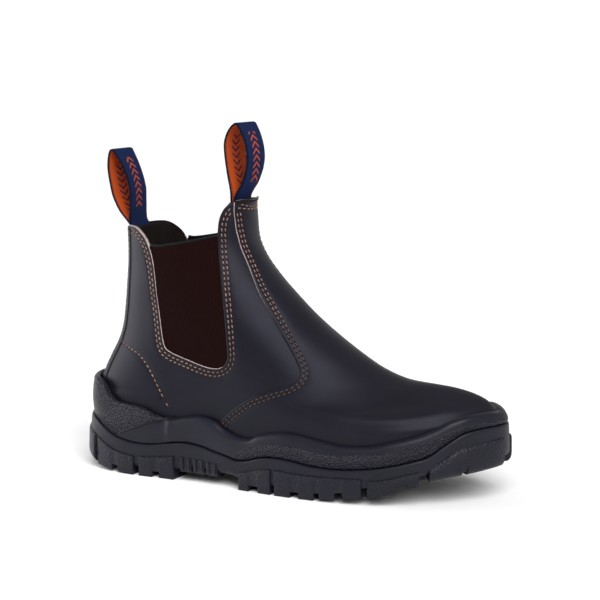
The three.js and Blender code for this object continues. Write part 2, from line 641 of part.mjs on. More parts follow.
// Midsole
const tuck = (x, by) => by * easeStep(0.93, 1, x / SOLE_LENGTH);
const midsoleBody = ringSolid([
  ring3(SOLE_STEPS, wallInset + TRAY_WALL + 0.6 + FIT_GAP, (x) => trayBed(x) + FIT_GAP),
  ring3(SOLE_STEPS, wallInset + TRAY_WALL + FIT_GAP + 0.1, (x) => groove(x) + FIT_GAP),
  ring3(SOLE_STEPS, wallInset + 2.6, (x) => groove(x) + FIT_GAP),
  ring3(SOLE_STEPS, wallInset + 0.6, (x) => groove(x) + 1.9),
  ring3(SOLE_STEPS, (x) => wallInset - 0.5 + tuck(x, 0.6), (x) => groove(x) * 0.65 + rim(x) * 0.35),
  ring3(SOLE_STEPS, (x) => wallInset + 0.1 + tuck(x, 1.4), (x) => groove(x) * 0.32 + rim(x) * 0.68),
  ring3(SOLE_STEPS, (x) => wallInset + 1.6 + tuck(x, 2.4), (x) => rim(x) - 2.2),
  ring3(SOLE_STEPS, (x) => wallInset + 3.6 + tuck(x, 1.8), (x) => rim(x) - 0.3),
  ring3(SOLE_STEPS, (x) => wallInset + 5.4 + tuck(x, 1), (x) => rim(x)),
  ring3(SOLE_STEPS, FEATHER_INSET + WALL_UNDER, (x) => rim(x) - 0.5),
]);
const grown = movedRings(OUTER_RINGS, FIT_GAP).slice(0, 12);
grown[0] = grown[0].map((p) => [p[0], p[1], p[2] - 0.3]);
const below = outlineRing(UPPER_STEPS, FEATHER_INSET + FOOT_TUCK);
grown[0] = below.map((p) => [p[0], p[1], bed(p[2])]);
const upperEnvelope = ringSolid(grown);
const midsoleSolid = midsoleBody.subtract(upperEnvelope);

// Insole
const insoleInset = FEATHER_INSET + FOOT_TUCK + UPPER_WALL;
const insoleSolid = ringSolid([
  ring3(UPPER_STEPS, insoleInset + 1.4, (x) => bed(x) + FIT_GAP),
  ring3(UPPER_STEPS, insoleInset + 1, (x) => bed(x) + FIT_GAP + INSOLE_WALL * 0.5),
  ring3(UPPER_STEPS, insoleInset + 0.4, (x) => bed(x) + FIT_GAP + INSOLE_WALL),
]);

// Upper
const collarCut = sidePrism([
  [-0.2 * SOLE_LENGTH, SHAFT_HEIGHT], ...sideView(COLLAR), [0.7 * SOLE_LENGTH, SHAFT_HEIGHT * 1.13],
  [0.7 * SOLE_LENGTH, SHAFT_HEIGHT * 2], [-0.2 * SOLE_LENGTH, SHAFT_HEIGHT * 2],
]);
const goreWindow = sideView(GORE);
const vampArea = [...sideView(VAMP), [SOLE_LENGTH + 30, 0], [SOLE_LENGTH + 30, SHAFT_HEIGHT * 1.4]];
const gorePrism = sidePrism(goreWindow);
const vampPrism = sidePrism(vampArea);
const underRim = ringSolid([
  ring3(SOLE_STEPS, -FEATHER_INSET, () => -GROOVE_HEIGHT),
  ring3(SOLE_STEPS, -FEATHER_INSET, (x) => rim(x) + FIT_GAP),
  ring3(SOLE_STEPS, wallInset + 3.6, (x) => rim(x) + FIT_GAP),
  ring3(SOLE_STEPS, wallInset + 5.4, (x) => rim(x) + FIT_GAP),
  ring3(SOLE_STEPS, FEATHER_INSET + WALL_UNDER, (x) => rim(x) + FIT_GAP),
]);

const vampLayer = shell(VAMP_STEP, -UPPER_WALL * 0.6).intersect(vampPrism).subtract(underRim);
let upperSolid = shell(0, -UPPER_WALL).add(vampLayer);
upperSolid = upperSolid.subtract(collarCut).subtract(gorePrism);

// Gores, one per side
const goreShell = shell(-GORE_SINK, -GORE_SINK - GORE_WALL)
  .intersect(sidePrism(shifted(goreWindow, FIT_GAP)))
  .subtract(collarCut);
const sideHalf = (side) => sidePrism(
  [[-40, 0], [SOLE_LENGTH, 0], [SOLE_LENGTH, 300], [-40, 300]],
  side < 0 ? -120 : 1,
  side < 0 ? -1 : 120,
);
const goreLateral = goreShell.intersect(sideHalf(-1));
const goreMedial = goreShell.intersect(sideHalf(1));

// Backstay
const backLine = OUTER_RINGS.map((ring) => [ring[0][0], ring[0][2]])
  .filter((p) => p[1] > RIM_HEIGHT * 1.52 && p[1] < SHAFT_HEIGHT * 0.985);
const stayBottom = [backLine[0][0] - 3, RIM_HEIGHT * 1.52];
const stayArea = [
  [-20, stayBottom[1]], [backLine[0][0] + 1.6, stayBottom[1]],
  ...backLine.map((p) => [p[0] + 1.6, p[1]]),
  [backLine[backLine.length - 1][0] + 1.6, SHAFT_HEIGHT * 0.99], [-20, SHAFT_HEIGHT * 0.99],
];
const backstaySolid = shell(FIT_GAP + BACKSTAY_WALL, FIT_GAP).intersect(
  sidePrism(stayArea, -BACKSTAY_WIDTH, BACKSTAY_WIDTH),
);

// Pull loops: ribbon through a side view line, bent round the collar at its tails
function ribbon(table, anchor, rise, inward, turn) {
  const line = new THREE.CatmullRomCurve3(table.map((p) => new THREE.Vector3(
    anchor[0] + p[0] * SHAFT_LENGTH,
    0,
    anchor[1] + (p[1] < 0 ? p[1] * 2 * TAIL_LENGTH : p[1] * rise),
  )), false, 'centripetal');
  const bends = table.map((p, i) => [i / (table.length - 1), p[2]]);
  const steps = 27;
  const across = 4;
  const rows = [];
  for (let i = 0; i <= steps; i += 1) {
    const t = i / steps;
    const p = line.getPoint(t);
    const d = line.getTangent(t);
    const bend = smooth(bends, t);
    const row = [];
    const push = (k, offset) => {
      const y = (k / across - 0.5) * WEB_WIDTH;
      const sag = inward * bend * (y * y) / 44 - turn * y * (1 - bend);
      row.push([p.x + sag + d.z * offset, y, p.z - d.x * offset]);
    };
    for (let k = 0; k <= across; k += 1) {
      push(k, WEB_WALL / 2);
    }
    for (let k = across; k >= 0; k -= 1) {
      push(k, -WEB_WALL / 2);
    }
    rows.push(row);
  }
  const n = rows[0].length;
  const positions = rows.flat(2);
  const index = [];
  for (let i = 0; i < steps; i += 1) {
    for (let k = 0; k < n; k += 1) {
      const m = (k + 1) % n;
      index.push(i * n + k, i * n + m, (i + 1) * n + m, i * n + k, (i + 1) * n + m, (i + 1) * n + k);
    }
  }
  const last = steps * n;
  for (let k = 0; k < across; k += 1) {
    const a = k;
    const b = k + 1;
    const c = n - 2 - k;
    const e = n - 1 - k;
    index.push(a, c, b, a, e, c, last + a, last + b, last + c, last + a, last + c, last + e);
  }
  const solid = solidOf(positions, index);
  if (solid.volume() < 0) {
    for (let i = 0; i < index.length; i += 3) {
      const swap = index[i + 1];
      index[i + 1] = index[i + 2];
      index[i + 2] = swap;
    }
    return solidOf(positions, index);
  }
  return solid;
}

const frontAnchor = [0.4005 * SOLE_LENGTH - UPPER_WALL, SHAFT_HEIGHT * 1.13];
const rearAnchor = [0.1 * SOLE_LENGTH + UPPER_WALL, SHAFT_HEIGHT];
const frontLoop = ribbon(FRONT_LOOP, frontAnchor, FRONT_LOOP_RISE, -1, -LOOP_TURN / 2);
const rearLoop = ribbon(REAR_LOOP, rearAnchor, REAR_LOOP_RISE, 1, LOOP_TURN);

// Scene
const leather = { color: 0x2b2a2d, roughness: 0.55, metalness: 0 };
const rubber = { color: 0x26292e, roughness: 0.7, metalness: 0 };
const elastic = { color: 0x2a1717, roughness: 0.95, metalness: 0 };
const webbing = { color: 0x27345f, roughness: 0.9, metalness: 0 };
const bedding = { color: 0x3a2c25, roughness: 0.9, metalness: 0 };

const pieces = [
  ['outsole', outsoleSolid, rubber],
  ['midsole', midsoleSolid, rubber],
  ['insole', insoleSolid, bedding],
  ['upper', upperSolid, leather],
  ['gore_lateral', goreLateral, elastic],
  ['gore_medial', goreMedial, elastic],
  ['backstay', backstaySolid, leather],
  ['pull_loop_front', frontLoop, webbing],
  ['pull_loop_rear', rearLoop, webbing],
];

// The origin sits under the middle of the whole boot
const box = new THREE.Box3();
const meshes = pieces.map(([name, solid, look]) => {
  const mesh = solid.getMesh();
  const geometry = new THREE.BufferGeometry();
  const points = new Float32Array(mesh.numVert * 3);
  for (let i = 0; i < mesh.numVert; i += 1) {
    for (let c = 0; c < 3; c += 1) {
      points[i * 3 + c] = mesh.vertProperties[i * mesh.numProp + c];
    }
  }
  geometry.setAttribute('position', new THREE.BufferAttribute(points, 3));
  geometry.setIndex(new THREE.BufferAttribute(new Uint32Array(mesh.triVerts), 1));
  geometry.computeVertexNormals();
  geometry.computeBoundingBox();
  box.union(geometry.boundingBox);
  const made = new THREE.Mesh(geometry, new THREE.MeshStandardMaterial(look));
  made.name = name;
  return made;
});

const boot = new THREE.Group();
const middle = box.getCenter(new THREE.Vector3());
meshes.forEach((mesh) => {
  mesh.geometry.translate(-middle.x, -middle.y, -box.min.z);
  boot.add(mesh);
});

export default boot;
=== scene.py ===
import math
import bpy
import bmesh
import numpy as np
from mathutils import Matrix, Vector, kdtree
from mathutils.geometry import delaunay_2d_cdt


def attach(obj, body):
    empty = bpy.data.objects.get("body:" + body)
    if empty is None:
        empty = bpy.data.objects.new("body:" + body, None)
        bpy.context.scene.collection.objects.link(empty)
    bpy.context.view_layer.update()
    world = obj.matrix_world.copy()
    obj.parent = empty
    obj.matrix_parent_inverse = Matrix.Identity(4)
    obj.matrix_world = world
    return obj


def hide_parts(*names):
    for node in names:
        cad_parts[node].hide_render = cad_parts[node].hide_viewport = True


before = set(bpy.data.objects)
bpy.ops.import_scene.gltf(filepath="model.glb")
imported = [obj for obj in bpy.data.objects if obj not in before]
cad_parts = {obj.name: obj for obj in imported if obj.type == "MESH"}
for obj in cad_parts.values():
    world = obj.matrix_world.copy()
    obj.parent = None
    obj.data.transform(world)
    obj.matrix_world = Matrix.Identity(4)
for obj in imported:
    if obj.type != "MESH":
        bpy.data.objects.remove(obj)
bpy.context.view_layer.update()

print("frame loaded")

# the boot in millimetres, heel back at x = 0 and floor at z = 0, as in the solids
boot = {
    "length": 310.0, "ball": 112.0, "heel": 84.0, "heelSeat": 26.0, "forefootBed": 14.5,
    "toeSpring": 21.7, "grooveHeight": 22.8, "rimHeight": 43.0, "lugDepth": 5.5, "trayFloor": 5.0,
    "lugSide": 13.5, "notch": 4.2, "heelFlare": 1.3, "proud": 1.2, "shankRise": 3.5,
    "shaftHeight": 171.0, "toeHeight": 73.0, "shaftWidth": 58.0, "shaftLength": 96.0, "wall": 2.4,
    "featherInset": 8.2, "gap": 0.3, "levelStart": 0.19,
    "origin": (153.911, -1.625, -0.055),  # middle of the solids' box, taken off every point
}

outline = [
    [0, 0, 0], [0.01, 0.183, 0.193], [0.03, 0.323, 0.337], [0.06, 0.421, 0.418],
    [0.11, 0.487, 0.470], [0.18, 0.515, 0.481], [0.26, 0.518, 0.459], [0.35, 0.502, 0.401],
    [0.45, 0.496, 0.385], [0.55, 0.498, 0.423], [0.64, 0.513, 0.471], [0.70, 0.513, 0.486],
    [0.76, 0.492, 0.477], [0.82, 0.448, 0.444], [0.88, 0.370, 0.384], [0.93, 0.275, 0.302],
    [0.97, 0.153, 0.205], [0.99, 0.067, 0.130], [1, -0.045, 0.045],
]
tread = [
    [0, 0.38], [0.03, 0.27], [0.06, 0.17], [0.1, 0.075], [0.14, 0.015], [0.17, 0], [0.22, 0],
    [0.55, 0], [0.59, 0.004],
    [0.66, 0.1], [0.76, 0.31], [0.81, 0.47], [0.85, 0.67], [0.90, 0.85], [0.95, 0.95], [1, 1.06],
]
bedLine = [
    [0, 1.04, 0, 0], [0.1, 1.02, 0, 0], [0.19, 0.99, 0, 0], [0.29, 0.9, 0, 0],
    [0.39, 0.72, 0, 0], [0.46, 0.4, 0.38, 0], [0.52, 0.12, 0.82, 0], [0.59, 0, 1, 0],
    [0.66, 0, 1, 0.1], [0.76, 0, 1, 0.31], [0.83, 0, 1, 0.55], [0.87, 0, 1, 0.72],
    [0.94, 0, 1, 0.93], [1, 0, 1, 1.05],
]
grooveLine = [
    [0, 1.66], [0.025, 1.62], [0.042, 1.57], [0.077, 1.35], [0.11, 1.13], [0.14, 1.03], [0.17, 0.98],
    [0.213, 1], [0.26, 1.1], [0.3, 1.16], [0.342, 1.1], [0.37, 1.01], [0.406, 0.92], [0.432, 0.85],
    [0.46, 0.9], [0.49, 1.03], [0.525, 1.09], [0.565, 1.07], [0.613, 0.99], [0.665, 0.97],
    [0.7, 0.99], [0.755, 1.07], [0.806, 1.2], [0.845, 1.34], [0.868, 1.44], [0.89, 1.66],
    [0.913, 1.9], [0.935, 2.09], [0.968, 2.18], [1, 2.2],
]
rimLine = [
    [0, 1.5], [0.03, 1.5], [0.055, 1.48], [0.077, 1.4], [0.094, 1.26], [0.113, 1.17],
    [0.142, 1.145], [0.187, 1.1], [0.22, 1.01], [0.242, 0.98], [0.27, 0.99], [0.3, 1.04],
    [0.335, 1.067], [0.37, 1.01], [0.397, 0.9], [0.432, 0.825], [0.465, 0.83], [0.484, 0.9],
    [0.516, 0.955], [0.548, 0.99], [0.587, 0.975], [0.64, 0.92], [0.694, 0.885], [0.75, 0.91],
    [0.803, 1], [0.852, 1.095], [0.887, 1.205], [0.91, 1.3], [0.94, 1.365], [0.965, 1.38],
    [0.985, 1.375], [1, 1.35],
]
# back x, front x, back height, front height, dip, follow of the bed, outer and inner width,
# roundness, power
sections = [
    [0.0265, 0.9735, 0.33, 0.78, 0.02, 0.55, 1, 1, 0, 2.0],
    [0.034, 0.952, 0.385, 0.868, 0.06, 0.45, 0.98, 0.97, 0.06, 2.0],
    [0.052, 0.917, 0.455, 0.925, 0.12, 0.36, 0.93, 0.93, 0.16, 2.0],
    [0.068, 0.874, 0.51, 0.962, 0.17, 0.28, 0.87, 0.88, 0.28, 2.0],
    [0.078, 0.826, 0.556, 0.978, 0.17, 0.2, 0.82, 0.83, 0.42, 2.0],
    [0.084, 0.772, 0.602, 0.995, 0.12, 0.12, 0.77, 0.78, 0.56, 2.0],
    [0.087, 0.714, 0.648, 1.05, 0.06, 0.06, 0.73, 0.73, 0.7, 2.0],
    [0.0895, 0.659, 0.694, 1.145, 0.02, 0.02, 0.695, 0.69, 0.82, 2.0],
    [0.092, 0.606, 0.742, 1.255, 0, 0, 0.665, 0.66, 0.92, 2.05],
    [0.0945, 0.555, 0.794, 1.38, 0, 0, 0.64, 0.63, 1, 2.1],
    [0.097, 0.507, 0.85, 1.52, 0, 0, 0.61, 0.6, 1, 2.15],
    [0.0985, 0.463, 0.91, 1.655, 0, 0, 0.58, 0.57, 1, 2.2],
    [0.0995, 0.4275, 0.97, 1.79, 0, 0, 0.555, 0.545, 1, 2.25],
    [0.1, 0.407, 1.03, 1.92, 0, 0, 0.533, 0.528, 1, 2.3],
    [0.1, 0.4015, 1.095, 2.06, 0, 0, 0.518, 0.516, 1, 2.3],
    [0.1, 0.3995, 1.165, 2.2, 0, 0, 0.511, 0.51, 1, 2.3],
    [0.1, 0.3995, 1.24, 2.35, 0, 0, 0.509, 0.509, 1, 2.3],
]
featherRings = [[0, 4.2], [0.1, 1.6], [0.3, 0.3], [0.6, 0]]
lugTops = [
    [0, 1.6], [0.046, 1.55], [0.071, 1.37], [0.1, 1.16], [0.136, 1.04], [0.165, 1], [0.22, 1.07],
    [0.27, 1.21], [0.3, 1.2], [0.38, 1.1], [0.442, 0.9], [0.474, 1.08], [0.505, 1.25],
    [0.56, 1.25], [0.65, 1.1], [0.72, 0.95], [0.76, 0.76], [0.822, 0.74], [0.853, 0.66],
    [0.875, 0.7], [0.891, 0.88], [0.907, 1.1], [0.9235, 1.28], [0.9426, 1.39], [1, 1.4],
]


def readTable(table, at, column=1):  # smooth line through a table's rows
    rows = np.asarray(table, float)
    xs, ys = rows[:, 0], rows[:, column]
    last = len(xs) - 1
    order = np.arange(last + 1)
    before, after = np.maximum(order - 1, 0), np.minimum(order + 1, last)
    slopes = (ys[after] - ys[before]) / (xs[after] - xs[before])
    at = np.clip(np.asarray(at, float), xs[0], xs[-1])
    i = np.clip(np.searchsorted(xs, at, side="right") - 1, 0, last - 1)
    h = xs[i + 1] - xs[i]
    t = (at - xs[i]) / h
    return (ys[i] * (2 * t**3 - 3 * t**2 + 1) + slopes[i] * h * (t**3 - 2 * t**2 + t)
            + ys[i + 1] * (3 * t**2 - 2 * t**3) + slopes[i + 1] * h * (t**3 - t**2))


def easeStep(a, b, x):
    t = np.clip((np.asarray(x, float) - a) / (b - a), 0, 1)
    return t * t * (3 - 2 * t)


def heightLine(unit, table):
    return lambda x: boot[unit] * readTable(table, x / boot["length"])


treadHeight = heightLine("toeSpring", tread)
grooveHeight = heightLine("grooveHeight", grooveLine)
rimHeight = heightLine("rimHeight", rimLine)


def baseHeight(x):
    s = x / boot["length"]
    shank = easeStep(0.25, 0.3, s) * (1 - easeStep(0.41, 0.46, s))
    return treadHeight(x) + boot["lugDepth"] + boot["shankRise"] * shank


def bedHeight(x):
    s = x / boot["length"]
    return (boot["heelSeat"] * readTable(bedLine, s, 1) + boot["forefootBed"] * readTable(bedLine, s, 2)
            + boot["toeSpring"] * readTable(bedLine, s, 3))


def lugTop(x):
    return np.minimum(treadHeight(x) + boot["lugSide"] * readTable(lugTops, x / boot["length"]),
                      grooveHeight(x) - 3)


outlineByAngle = [[math.acos(1 - 2 * r[0]), r[1], r[2]] for r in outline]


def wrapAngle(t):
    return (np.asarray(t, float) + np.pi) % (2 * np.pi) - np.pi


def outlinePoint(t):  # t below 0 is the outer side, 0 the heel back, pi the toe
    t = wrapAngle(t)
    angle = np.abs(t)
    s = (1 - np.cos(angle)) / 2
    width = boot["heel"] + (boot["ball"] - boot["heel"]) * easeStep(0.22, 0.58, s)
    outer = -width * readTable(outlineByAngle, angle, 1)
    inner = width * readTable(outlineByAngle, angle, 2)
    return s * boot["length"], np.where(t < 0, outer, inner)


def outlineNormal(t, d=0.01):
    x0, y0 = outlinePoint(np.asarray(t) - d)
    x1, y1 = outlinePoint(np.asarray(t) + d)
    nx, ny = -(y1 - y0), x1 - x0
    length = np.hypot(nx, ny)
    return nx / length, ny / length


def insetPoint(t, inset):  # outline moved inward, with the x that it came from
    x, y = outlinePoint(t)
    nx, ny = outlineNormal(t)
    return x - nx * inset, y - ny * inset, x


def centreLine(s):
    return outlinePoint(np.array([np.pi]))[1][0] * s * s


plainAngles = np.linspace(0, np.pi, 361)
plainOuter = insetPoint(-plainAngles, boot["featherInset"])[1]
plainInner = insetPoint(plainAngles, boot["featherInset"])[1]
plainOuter[0] = plainInner[0] = 0
sectionRows = [[i, *row] for i, row in enumerate(sections)]


def sectionValues(v):
    at = (v - boot["levelStart"]) / (1 - boot["levelStart"]) * (len(sections) - 1)
    return [readTable(sectionRows, at, column + 1) for column in range(10)]


def surfacePoint(t, v):  # outer face of the leather at an angle round the foot and a level
    t = wrapAngle(t)
    v = np.asarray(v, float)
    angle = np.abs(t)
    side = np.where(t < 0, -1.0, 1.0)
    s = (1 - np.cos(angle)) / 2
    back, front, backUp, frontUp, dip, follow, outer, inner, oval, power = sectionValues(
        np.maximum(v, boot["levelStart"]))
    back, front = back * boot["length"], front * boot["length"]
    backUp = backUp * boot["shaftHeight"]
    frontUp = (boot["toeHeight"] * np.minimum(frontUp, 1)
               + (boot["shaftHeight"] - boot["toeHeight"]) * np.maximum(frontUp - 1, 0))
    x = back + s * (front - back)
    chord = bedHeight(back) * (1 - s) + bedHeight(front) * s
    z = (backUp * (1 - s) + frontUp * s + (bedHeight(x) - chord) * follow
         - dip * boot["toeHeight"] * 9.48 * s**3 * (1 - s))
    centre = centreLine(s)
    plain = np.where(side < 0, centre - np.interp(angle, plainAngles, plainOuter),
                     np.interp(angle, plainAngles, plainInner) - centre)
    plain = np.maximum(plain, 0)
    ovalHalf = (1 - np.abs(2 * s - 1) ** power) ** (1 / power)
    share = np.where(side < 0, outer, inner)
    half = plain * share * (1 - oval) + ovalHalf * boot["shaftWidth"] * share * oval
    y = centre * (1 - easeStep(boot["levelStart"], 0.75, v)) + side * half
    k = np.clip(v / boot["levelStart"], 0, 1)
    px, py, base = insetPoint(t, boot["featherInset"] + readTable(featherRings, k * 0.6))
    low = bedHeight(base) + boot["gap"]
    under = v < boot["levelStart"]
    return np.stack([np.where(under, px, x), np.where(under, py, y),
                     np.where(under, low + (z - low) * k, z)], -1)


def surfaceFrame(t, v, d=2e-3):  # outward normal and the two ways along the leather
    t, v = np.asarray(t, float), np.asarray(v, float)
    dt = (surfacePoint(t + d, v) - surfacePoint(t - d, v)) / (2 * d)
    dv = (surfacePoint(t, v + d) - surfacePoint(t, v - d)) / (2 * d)
    n = np.cross(dv, dt)
    n /= np.linalg.norm(n, axis=-1, keepdims=True) + 1e-12
    return n, dt, dv


def liftedPoint(t, v, lift):
    return surfacePoint(t, v) + surfaceFrame(t, v)[0] * np.asarray(lift, float)[..., None]


def toScene(points):  # millimetres at the heel back to metres at the middle of the boot
    return (np.array(points, float).reshape(-1, 3) - boot["origin"]) / 1000


def sideToSurface(x, z):  # side view point to the angle and level of the outer side
    x, z = np.asarray(x, float), np.asarray(z, float)
    gridAngle, gridLevel = np.meshgrid(np.linspace(0.02, np.pi - 0.02, 120),
                                       np.linspace(0.02, 0.99, 120))
    grid = surfacePoint(-gridAngle.ravel(), gridLevel.ravel())
    best = [np.argmin((grid[:, 0] - a) ** 2 + (grid[:, 2] - b) ** 2) for a, b in zip(x, z)]
    angle, v = gridAngle.ravel()[best].copy(), gridLevel.ravel()[best].copy()
    d = 1e-4
    for _ in range(14):
        p = surfacePoint(-angle, v)
        pa = (surfacePoint(-(angle + d), v) - p) / d
        pv = (surfacePoint(-angle, v + d) - p) / d
        det = pa[:, 0] * pv[:, 2] - pa[:, 2] * pv[:, 0]
        det = np.where(np.abs(det) < 1e-6, 1e-6, det)
        ex, ez = x - p[:, 0], z - p[:, 2]
        turn = np.clip((ex * pv[:, 2] - ez * pv[:, 0]) / det, -0.2, 0.2)
        angle = np.clip(angle + turn, 0.001, np.pi - 0.001)
        v = np.clip(v + np.clip((pa[:, 0] * ez - pa[:, 2] * ex) / det, -0.05, 0.05), 0.0, 0.999)
    return angle, v


def splineLine(points, step=1.0):  # even points on a smooth line through the given ones
    p = np.asarray(points, float)
    chord = np.r_[0, np.cumsum(np.sqrt(np.linalg.norm(np.diff(p, axis=0), axis=1)) + 1e-9)]
    rows = np.c_[chord, p]
    fine = np.linspace(0, chord[-1], 40 * len(p))
    q = np.stack([readTable(rows, fine, c + 1) for c in range(p.shape[1])], -1)
    run = np.r_[0, np.cumsum(np.linalg.norm(np.diff(q, axis=0), axis=1))]
    n = max(2, int(round(run[-1] / step)) + 1)
    at = np.linspace(0, run[-1], n)
    return np.stack([np.interp(at, run, q[:, c]) for c in range(p.shape[1])], -1)


def runLength(points):
    return np.r_[0, np.cumsum(np.linalg.norm(np.diff(points, axis=0), axis=1))]


def newMesh(name, points, faces):
    mesh = bpy.data.meshes.new(name)
    mesh.from_pydata([tuple(p) for p in toScene(points)], [], [tuple(int(i) for i in f) for f in faces])
    mesh.update()
    piece = bpy.data.objects.new(name, mesh)
    bpy.context.scene.collection.objects.link(piece)
    mesh.polygons.foreach_set("use_smooth", [True] * len(mesh.polygons))
    return piece


def setAttribute(piece, name, values):
    data = piece.data.attributes.new(name, "FLOAT", "POINT")
    data.data.foreach_set("value", np.asarray(values, np.float32))


def joinPieces(name, pieces):
    bpy.ops.object.select_all(action="DESELECT")
    for piece in pieces:
        piece.select_set(True)
    bpy.context.view_layer.objects.active = pieces[0]
    bpy.ops.object.join()
    pieces[0].name = name
    pieces[0].data.name = name
    return pieces[0]


def sharpEdges(piece, degrees):
    bm = bmesh.new()
    bm.from_mesh(piece.data)
    for edge in bm.edges:
        if len(edge.link_faces) == 2 and edge.calc_face_angle(0) > math.radians(degrees):
            edge.smooth = False
    bm.to_mesh(piece.data)
    bm.free()


def faceOutward(piece):
    bm = bmesh.new()
    bm.from_mesh(piece.data)
    bmesh.ops.recalc_face_normals(bm, faces=bm.faces)
    bm.to_mesh(piece.data)
    bm.free()


def bevelPiece(piece, width, angle=40, segments=2):
    modifier = piece.modifiers.new("bevel", "BEVEL")
    modifier.width = width / 1000
    modifier.segments = segments
    modifier.limit_method = "ANGLE"
    modifier.angle_limit = math.radians(angle)
    bpy.context.view_layer.objects.active = piece
    bpy.ops.object.modifier_apply(modifier=modifier.name)


def nearestOn(lines, points):  # distance to a set of points, and which one
    cloud = np.concatenate(lines)
    tree = kdtree.KDTree(len(cloud))
    for i, p in enumerate(cloud):
        tree.insert(p, i)
    tree.balance()
    found = [tree.find(p)[1:] for p in points]
    return np.array([f[1] for f in found]), np.array([f[0] for f in found])


def closer(points, parts=6):  # the same line with more points
    share = np.arange(parts)[:, None, None] / parts
    return (points[:-1] * (1 - share) + points[1:] * share).reshape(-1, points.shape[1])


def levelAt(height, angle):  # level of a height on the line at one angle
    v = np.linspace(0.2, 1, 400)
    return np.interp(height, surfacePoint(np.full(400, angle), v)[:, 2], v)


def shiftCurve(t, v, distance, rounds=5):  # along the leather, to the left of the way it runs
    for _ in range(rounds):
        p = surfacePoint(t, v)
        n, dt, dv = surfaceFrame(t, v)
        run = np.gradient(p, axis=0)
        run /= np.linalg.norm(run, axis=-1, keepdims=True) + 1e-12
        across = np.cross(n, run) * (np.broadcast_to(distance, len(t)) / rounds)[:, None]
        a, b, c = (dt * dt).sum(-1), (dt * dv).sum(-1), (dv * dv).sum(-1)
        e, f = (across * dt).sum(-1), (across * dv).sum(-1)
        det = a * c - b * b
        t = t + (e * c - f * b) / det
        v = v + (a * f - b * e) / det
    return t, v


panelScale = np.array([60.0, 200.0])  # angle and level to about millimetres on the leather


def insideLoop(points, loop):
    x, y = points[:, 0], points[:, 1]
    inside = np.zeros(len(points), bool)
    for (x0, y0), (x1, y1) in zip(loop, np.roll(loop, -1, axis=0)):
        if y0 != y1:
            inside ^= ((y0 > y) != (y1 > y)) & (x < (x1 - x0) * (y - y0) / (y1 - y0) + x0)
    return inside


def fillPanel(loop, guides, spacing):  # flat triangles inside a loop, with edges along the guides
    points, edges = [], []
    for line, closed in [(loop, True)] + [(guide, False) for guide in guides]:
        start = len(points)
        points.extend(tuple(p) for p in line)
        edges.extend((start + i, start + i + 1) for i in range(len(line) - 1))
        if closed:
            edges.append((start + len(line) - 1, start))
    fixed = np.c_[np.array(points), np.zeros(len(points))]
    low, high = loop.min(0), loop.max(0)
    grid = []
    for i, y in enumerate(np.arange(low[1], high[1], spacing * 0.866)):
        xs = np.arange(low[0] + (i % 2) * spacing / 2, high[0], spacing)
        grid.append(np.stack([xs, np.full(len(xs), y)], -1))
    grid = np.concatenate(grid)
    grid = grid[insideLoop(grid, loop)]
    away, _ = nearestOn([fixed], np.c_[grid, np.zeros(len(grid))])
    points.extend(tuple(p) for p in grid[away > spacing * 0.5])
    verts, _, faces, *_ = delaunay_2d_cdt([Vector(p) for p in points], edges, [], 0, 1e-4)
    flat = np.array([(p.x, p.y) for p in verts])
    tris = np.array([f for f in faces if len(f) == 3])
    tris = tris[insideLoop(flat[tris].mean(1), loop)]
    used = np.unique(tris)
    index = -np.ones(len(flat), int)
    index[used] = np.arange(len(used))
    return flat[used], index[tris]


def thickPanel(name, flat, tris, outerLift, innerLift, shape=None, closedToe=False, edgeLook=None,
               innerShape=0.6):
    t, v = flat[:, 0] / panelScale[0], flat[:, 1] / panelScale[1]
    extra = shape(t, v) if shape else np.zeros(len(t))
    outer = liftedPoint(t, v, outerLift + extra)
    inner = liftedPoint(t, v, innerLift + extra * innerShape)
    n = len(flat)
    a, b, c = outer[tris[0]]
    if np.cross(b - a, c - a) @ (outer[tris[0][0]] - inner[tris[0][0]]) < 0:
        tris = tris[:, [0, 2, 1]]
    edges = {(int(f[i]), int(f[(i + 1) % 3])) for f in tris for i in range(3)}
    rim = [(a, b) for (a, b) in edges if (b, a) not in edges]
    if closedToe:  # the two sides of the cut at the toe are one line
        onCut = np.abs(np.abs(t) - np.pi) < 1e-4
        rim = [(a, b) for (a, b) in rim if not (onCut[a] and onCut[b])]
    faces = [tuple(f) for f in tris] + [(f[0] + n, f[2] + n, f[1] + n) for f in tris]
    first = len(faces)
    faces += [(b, a, a + n, b + n) for a, b in rim]
    piece = newMesh(name, np.concatenate([outer, inner]), faces)
    looks = np.zeros(len(faces), np.int32)
    looks[len(tris):first] = 1
    if edgeLook is None:
        looks[first:] = 2
    else:  # pale raw cut edge where edgeLook picks it, the panel's outer material elsewhere
        plain = surfacePoint(t, v)
        looks[:len(tris)] = edgeLook(plain[tris].mean(1), 0.25)
        looks[first:] = edgeLook(np.array([(plain[a] + plain[b]) / 2 for a, b in rim]), 0.25)
    piece.data.polygons.foreach_set("material_index", looks)
    if closedToe:
        bm = bmesh.new()
        bm.from_mesh(piece.data)
        bmesh.ops.remove_doubles(bm, verts=bm.verts, dist=2e-6)
        bm.to_mesh(piece.data)
        bm.free()
    return piece


# side view lines: shares of the length and of the shaft height
def sideLine(rows):
    return [[r[0] * boot["length"], r[1] * boot["shaftHeight"]] for r in rows]


